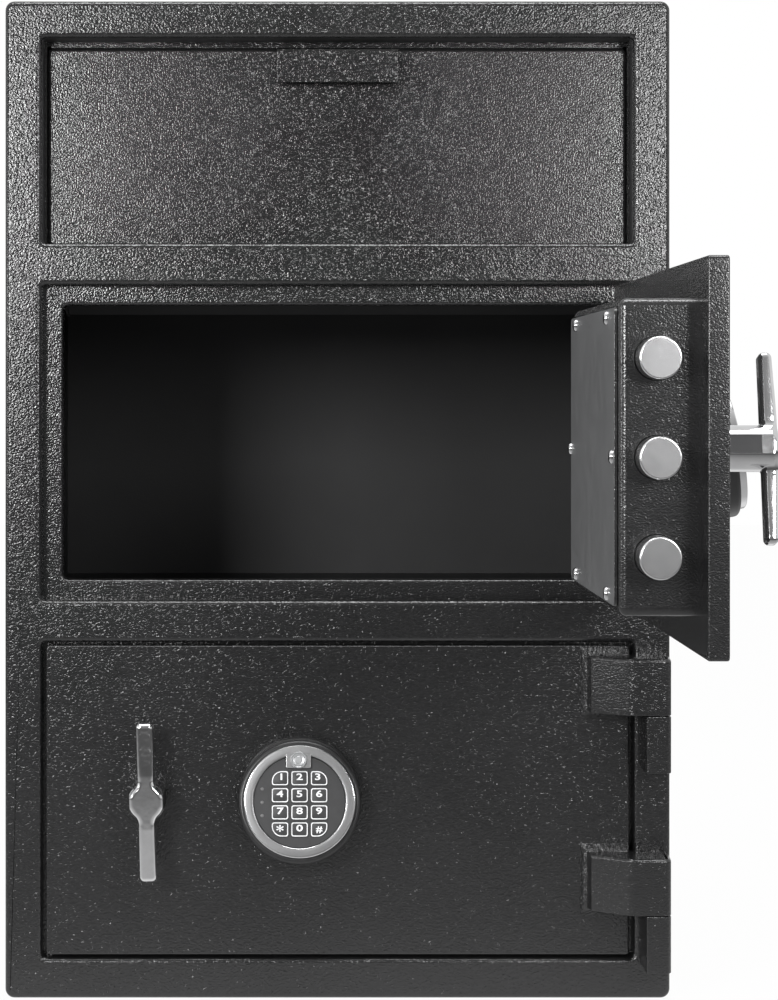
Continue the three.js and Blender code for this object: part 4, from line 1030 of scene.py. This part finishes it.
def clear_lens(name):
    finish = Finish(name, Base_Color=(0.34, 0.345, 0.35, 1), Metallic=0.4)
    cloud = finish.noise(500, 2, 0.5)
    finish.feed(finish.shader, {"Roughness": 0.26 + cloud * 0.12})
    return finish.material


lens_grey = clear_lens("lens_grey")
LENS_MIDDLE = (-0.0007, -0.0062, 0.0310)
LENS_R = 0.0063
LENS_T = 0.0022
LENS_STEPS = ((0.0007, -0.0005), (0.0004, 0.0004), (0.0016, -0.0003), (0.0004, 0.0003))
lens = rod("lower_keypad_lens", "Y", LENS_MIDDLE, LENS_R, LENS_T)
shape(lens)
pick("EDGE", lambda e: sharp(e) and middle(e).y < LENS_MIDDLE[1])
rounded(0.0008, 3)
pick("FACE", lambda f: f.normal.y < -0.99)
for width, depth in LENS_STEPS:
    bpy.ops.mesh.inset(thickness=width, depth=depth)
leave()
lens.matrix_world = lean
settle(lens)
both_doors(lens, lens_grey, "chrome")

# Keys. One rubber mat carries twelve keys, each with a pale printed line round it and a white digit,
# and three small signal lamps stand in the mat beside them.
key_rubber = moulded_plastic("key_rubber", (0.022, 0.022, 0.023), 0.40)
print_white = moulded_plastic("print_white", (0.62, 0.62, 0.63), 0.45)
MAT_R = 0.0342
MAT_FRONT = -0.0028
MAT_BACK = -0.0003
KEY_FRONT = -0.0038
KEY_BACK = -0.0015
KEY_DROP = 0.0016
COLUMN_PITCH, ROW_PITCH = 0.0147, 0.0127
KEY_HALF_W, KEY_HALF_H = 0.0065, 0.0056
KEY_CORNER_R = 0.0018
FIELD_CORNER_R = 0.0078
LINE_OUTSIDE = 0.0004
LINE_INSIDE = 0.0011
LINE_RISE = 0.00006
DIGIT_SIZE, STAR_SIZE = 0.0068, 0.0112
DIGIT_STRETCH, SIGN_STRETCH = 1.5, 1.15
STROKE_SWELL = 0.00014
PRINT_T = 0.00004
SIDE_NUDGE = 0.001
DIGIT_RISE = 0.0008
STAR_DROP = 0.0014
mat = rod("lower_key_mat", "Y", (0, (MAT_FRONT + MAT_BACK) / 2, 0), MAT_R, MAT_BACK - MAT_FRONT, 96)
outlines = []
digits = []


def key_block(place, inset, front, back, outer_corner):
    x, z = place
    block = cuboid("key_block", (x - KEY_HALF_W + inset, front, z - KEY_HALF_H + inset),
                   (x + KEY_HALF_W - inset, back, z + KEY_HALF_H - inset))
    shape(block)
    for chosen, radius, steps in ((False, KEY_CORNER_R - inset / 2, 4), (True, FIELD_CORNER_R - inset, 8)):
        pick("EDGE", lambda e: runs(e, "Y") and chosen == (
            (middle(e).x - x) * outer_corner[0] > 0.004 and (middle(e).z - z) * outer_corner[1] > 0.004))
        if any(edge.select for edge in bmesh.from_edit_mesh(block.data).edges):
            rounded(radius, steps)
    leave()
    return block


for index, mark in enumerate("123456789*0#"):
    row, column = divmod(index, 3)
    place = ((column - 1) * COLUMN_PITCH, (1.5 - row) * ROW_PITCH - KEY_DROP)
    outer_corner = (column - 1, {0: 1, 3: -1}.get(row, 0))
    key = key_block(place, 0, KEY_FRONT, KEY_BACK, outer_corner)
    shape(key)
    pick("EDGE", lambda e: sharp(e, 40) and at(middle(e).y, KEY_FRONT))
    rounded(0.0003, 2)
    leave()
    line = key_block(place, LINE_OUTSIDE, KEY_FRONT - LINE_RISE, KEY_FRONT + 0.0003, outer_corner)
    hole = key_block(place, LINE_INSIDE, KEY_FRONT - 0.0005, KEY_FRONT + 0.0010, outer_corner)
    carve(line, hole)
    outlines.append(line)
    carve(mat, key, operation="UNION")
    bpy.ops.object.select_all(action="DESELECT")
    bpy.ops.object.text_add(rotation=(math.radians(90), 0, 0))
    glyph = bpy.context.active_object
    glyph.data.body = mark
    glyph.data.align_x = "CENTER"
    glyph.data.align_y = "CENTER"
    glyph.data.size = STAR_SIZE if mark == "*" else DIGIT_SIZE
    glyph.data.offset = STROKE_SWELL
    glyph.data.extrude = PRINT_T
    glyph.data.resolution_u = 3
    glyph.scale = (SIGN_STRETCH if mark in "*#" else DIGIT_STRETCH, 1, 1)
    sideways = {"1": SIDE_NUDGE, "3": -SIDE_NUDGE}.get(mark, 0)
    upwards = {"*": -STAR_DROP, "#": 0}.get(mark, DIGIT_RISE)
    glyph.location = (place[0] + sideways, KEY_FRONT - 0.00002, place[1] + upwards)
    bpy.ops.object.convert(target="MESH")
    digits.append(settle(bpy.context.active_object))


def joined(name, parts):
    bpy.ops.object.select_all(action="DESELECT")
    for part in parts:
        part.select_set(True)
    bpy.context.view_layer.objects.active = parts[0]
    bpy.ops.object.join()
    whole = bpy.context.active_object
    whole.name = name
    return whole


LAMP_X = -0.0281
LAMP_HEIGHTS = (0.0094, -0.0006, -0.0104)
LAMP_R = 0.00125
LAMP_T = 0.0006
lamp_grey = moulded_plastic("signal_lamp_grey", (0.10, 0.10, 0.10), 0.3)
lamps = []
for z in LAMP_HEIGHTS:
    lamp = rod("signal", "Y", (LAMP_X, MAT_FRONT, z), LAMP_R, LAMP_T, 24)
    shape(lamp)
    pick("EDGE", lambda e: sharp(e) and middle(e).y < MAT_FRONT)
    rounded(0.00025, 2)
    leave()
    lamps.append(lamp)
for piece, material, slot, nodes in (
        (mat, key_rubber, "key_rubber", ("lower_keypad_keys",)),
        (joined("lower_key_signals", lamps), lamp_grey, "key_rubber", ()),
        (joined("lower_key_lines", outlines), print_white, "key_rubber", ()),
        (joined("lower_key_digits", digits), print_white, "key_rubber", ())):
    piece.matrix_world = lean
    settle(piece)
    both_doors(piece, material, slot, *nodes, weighted=False)
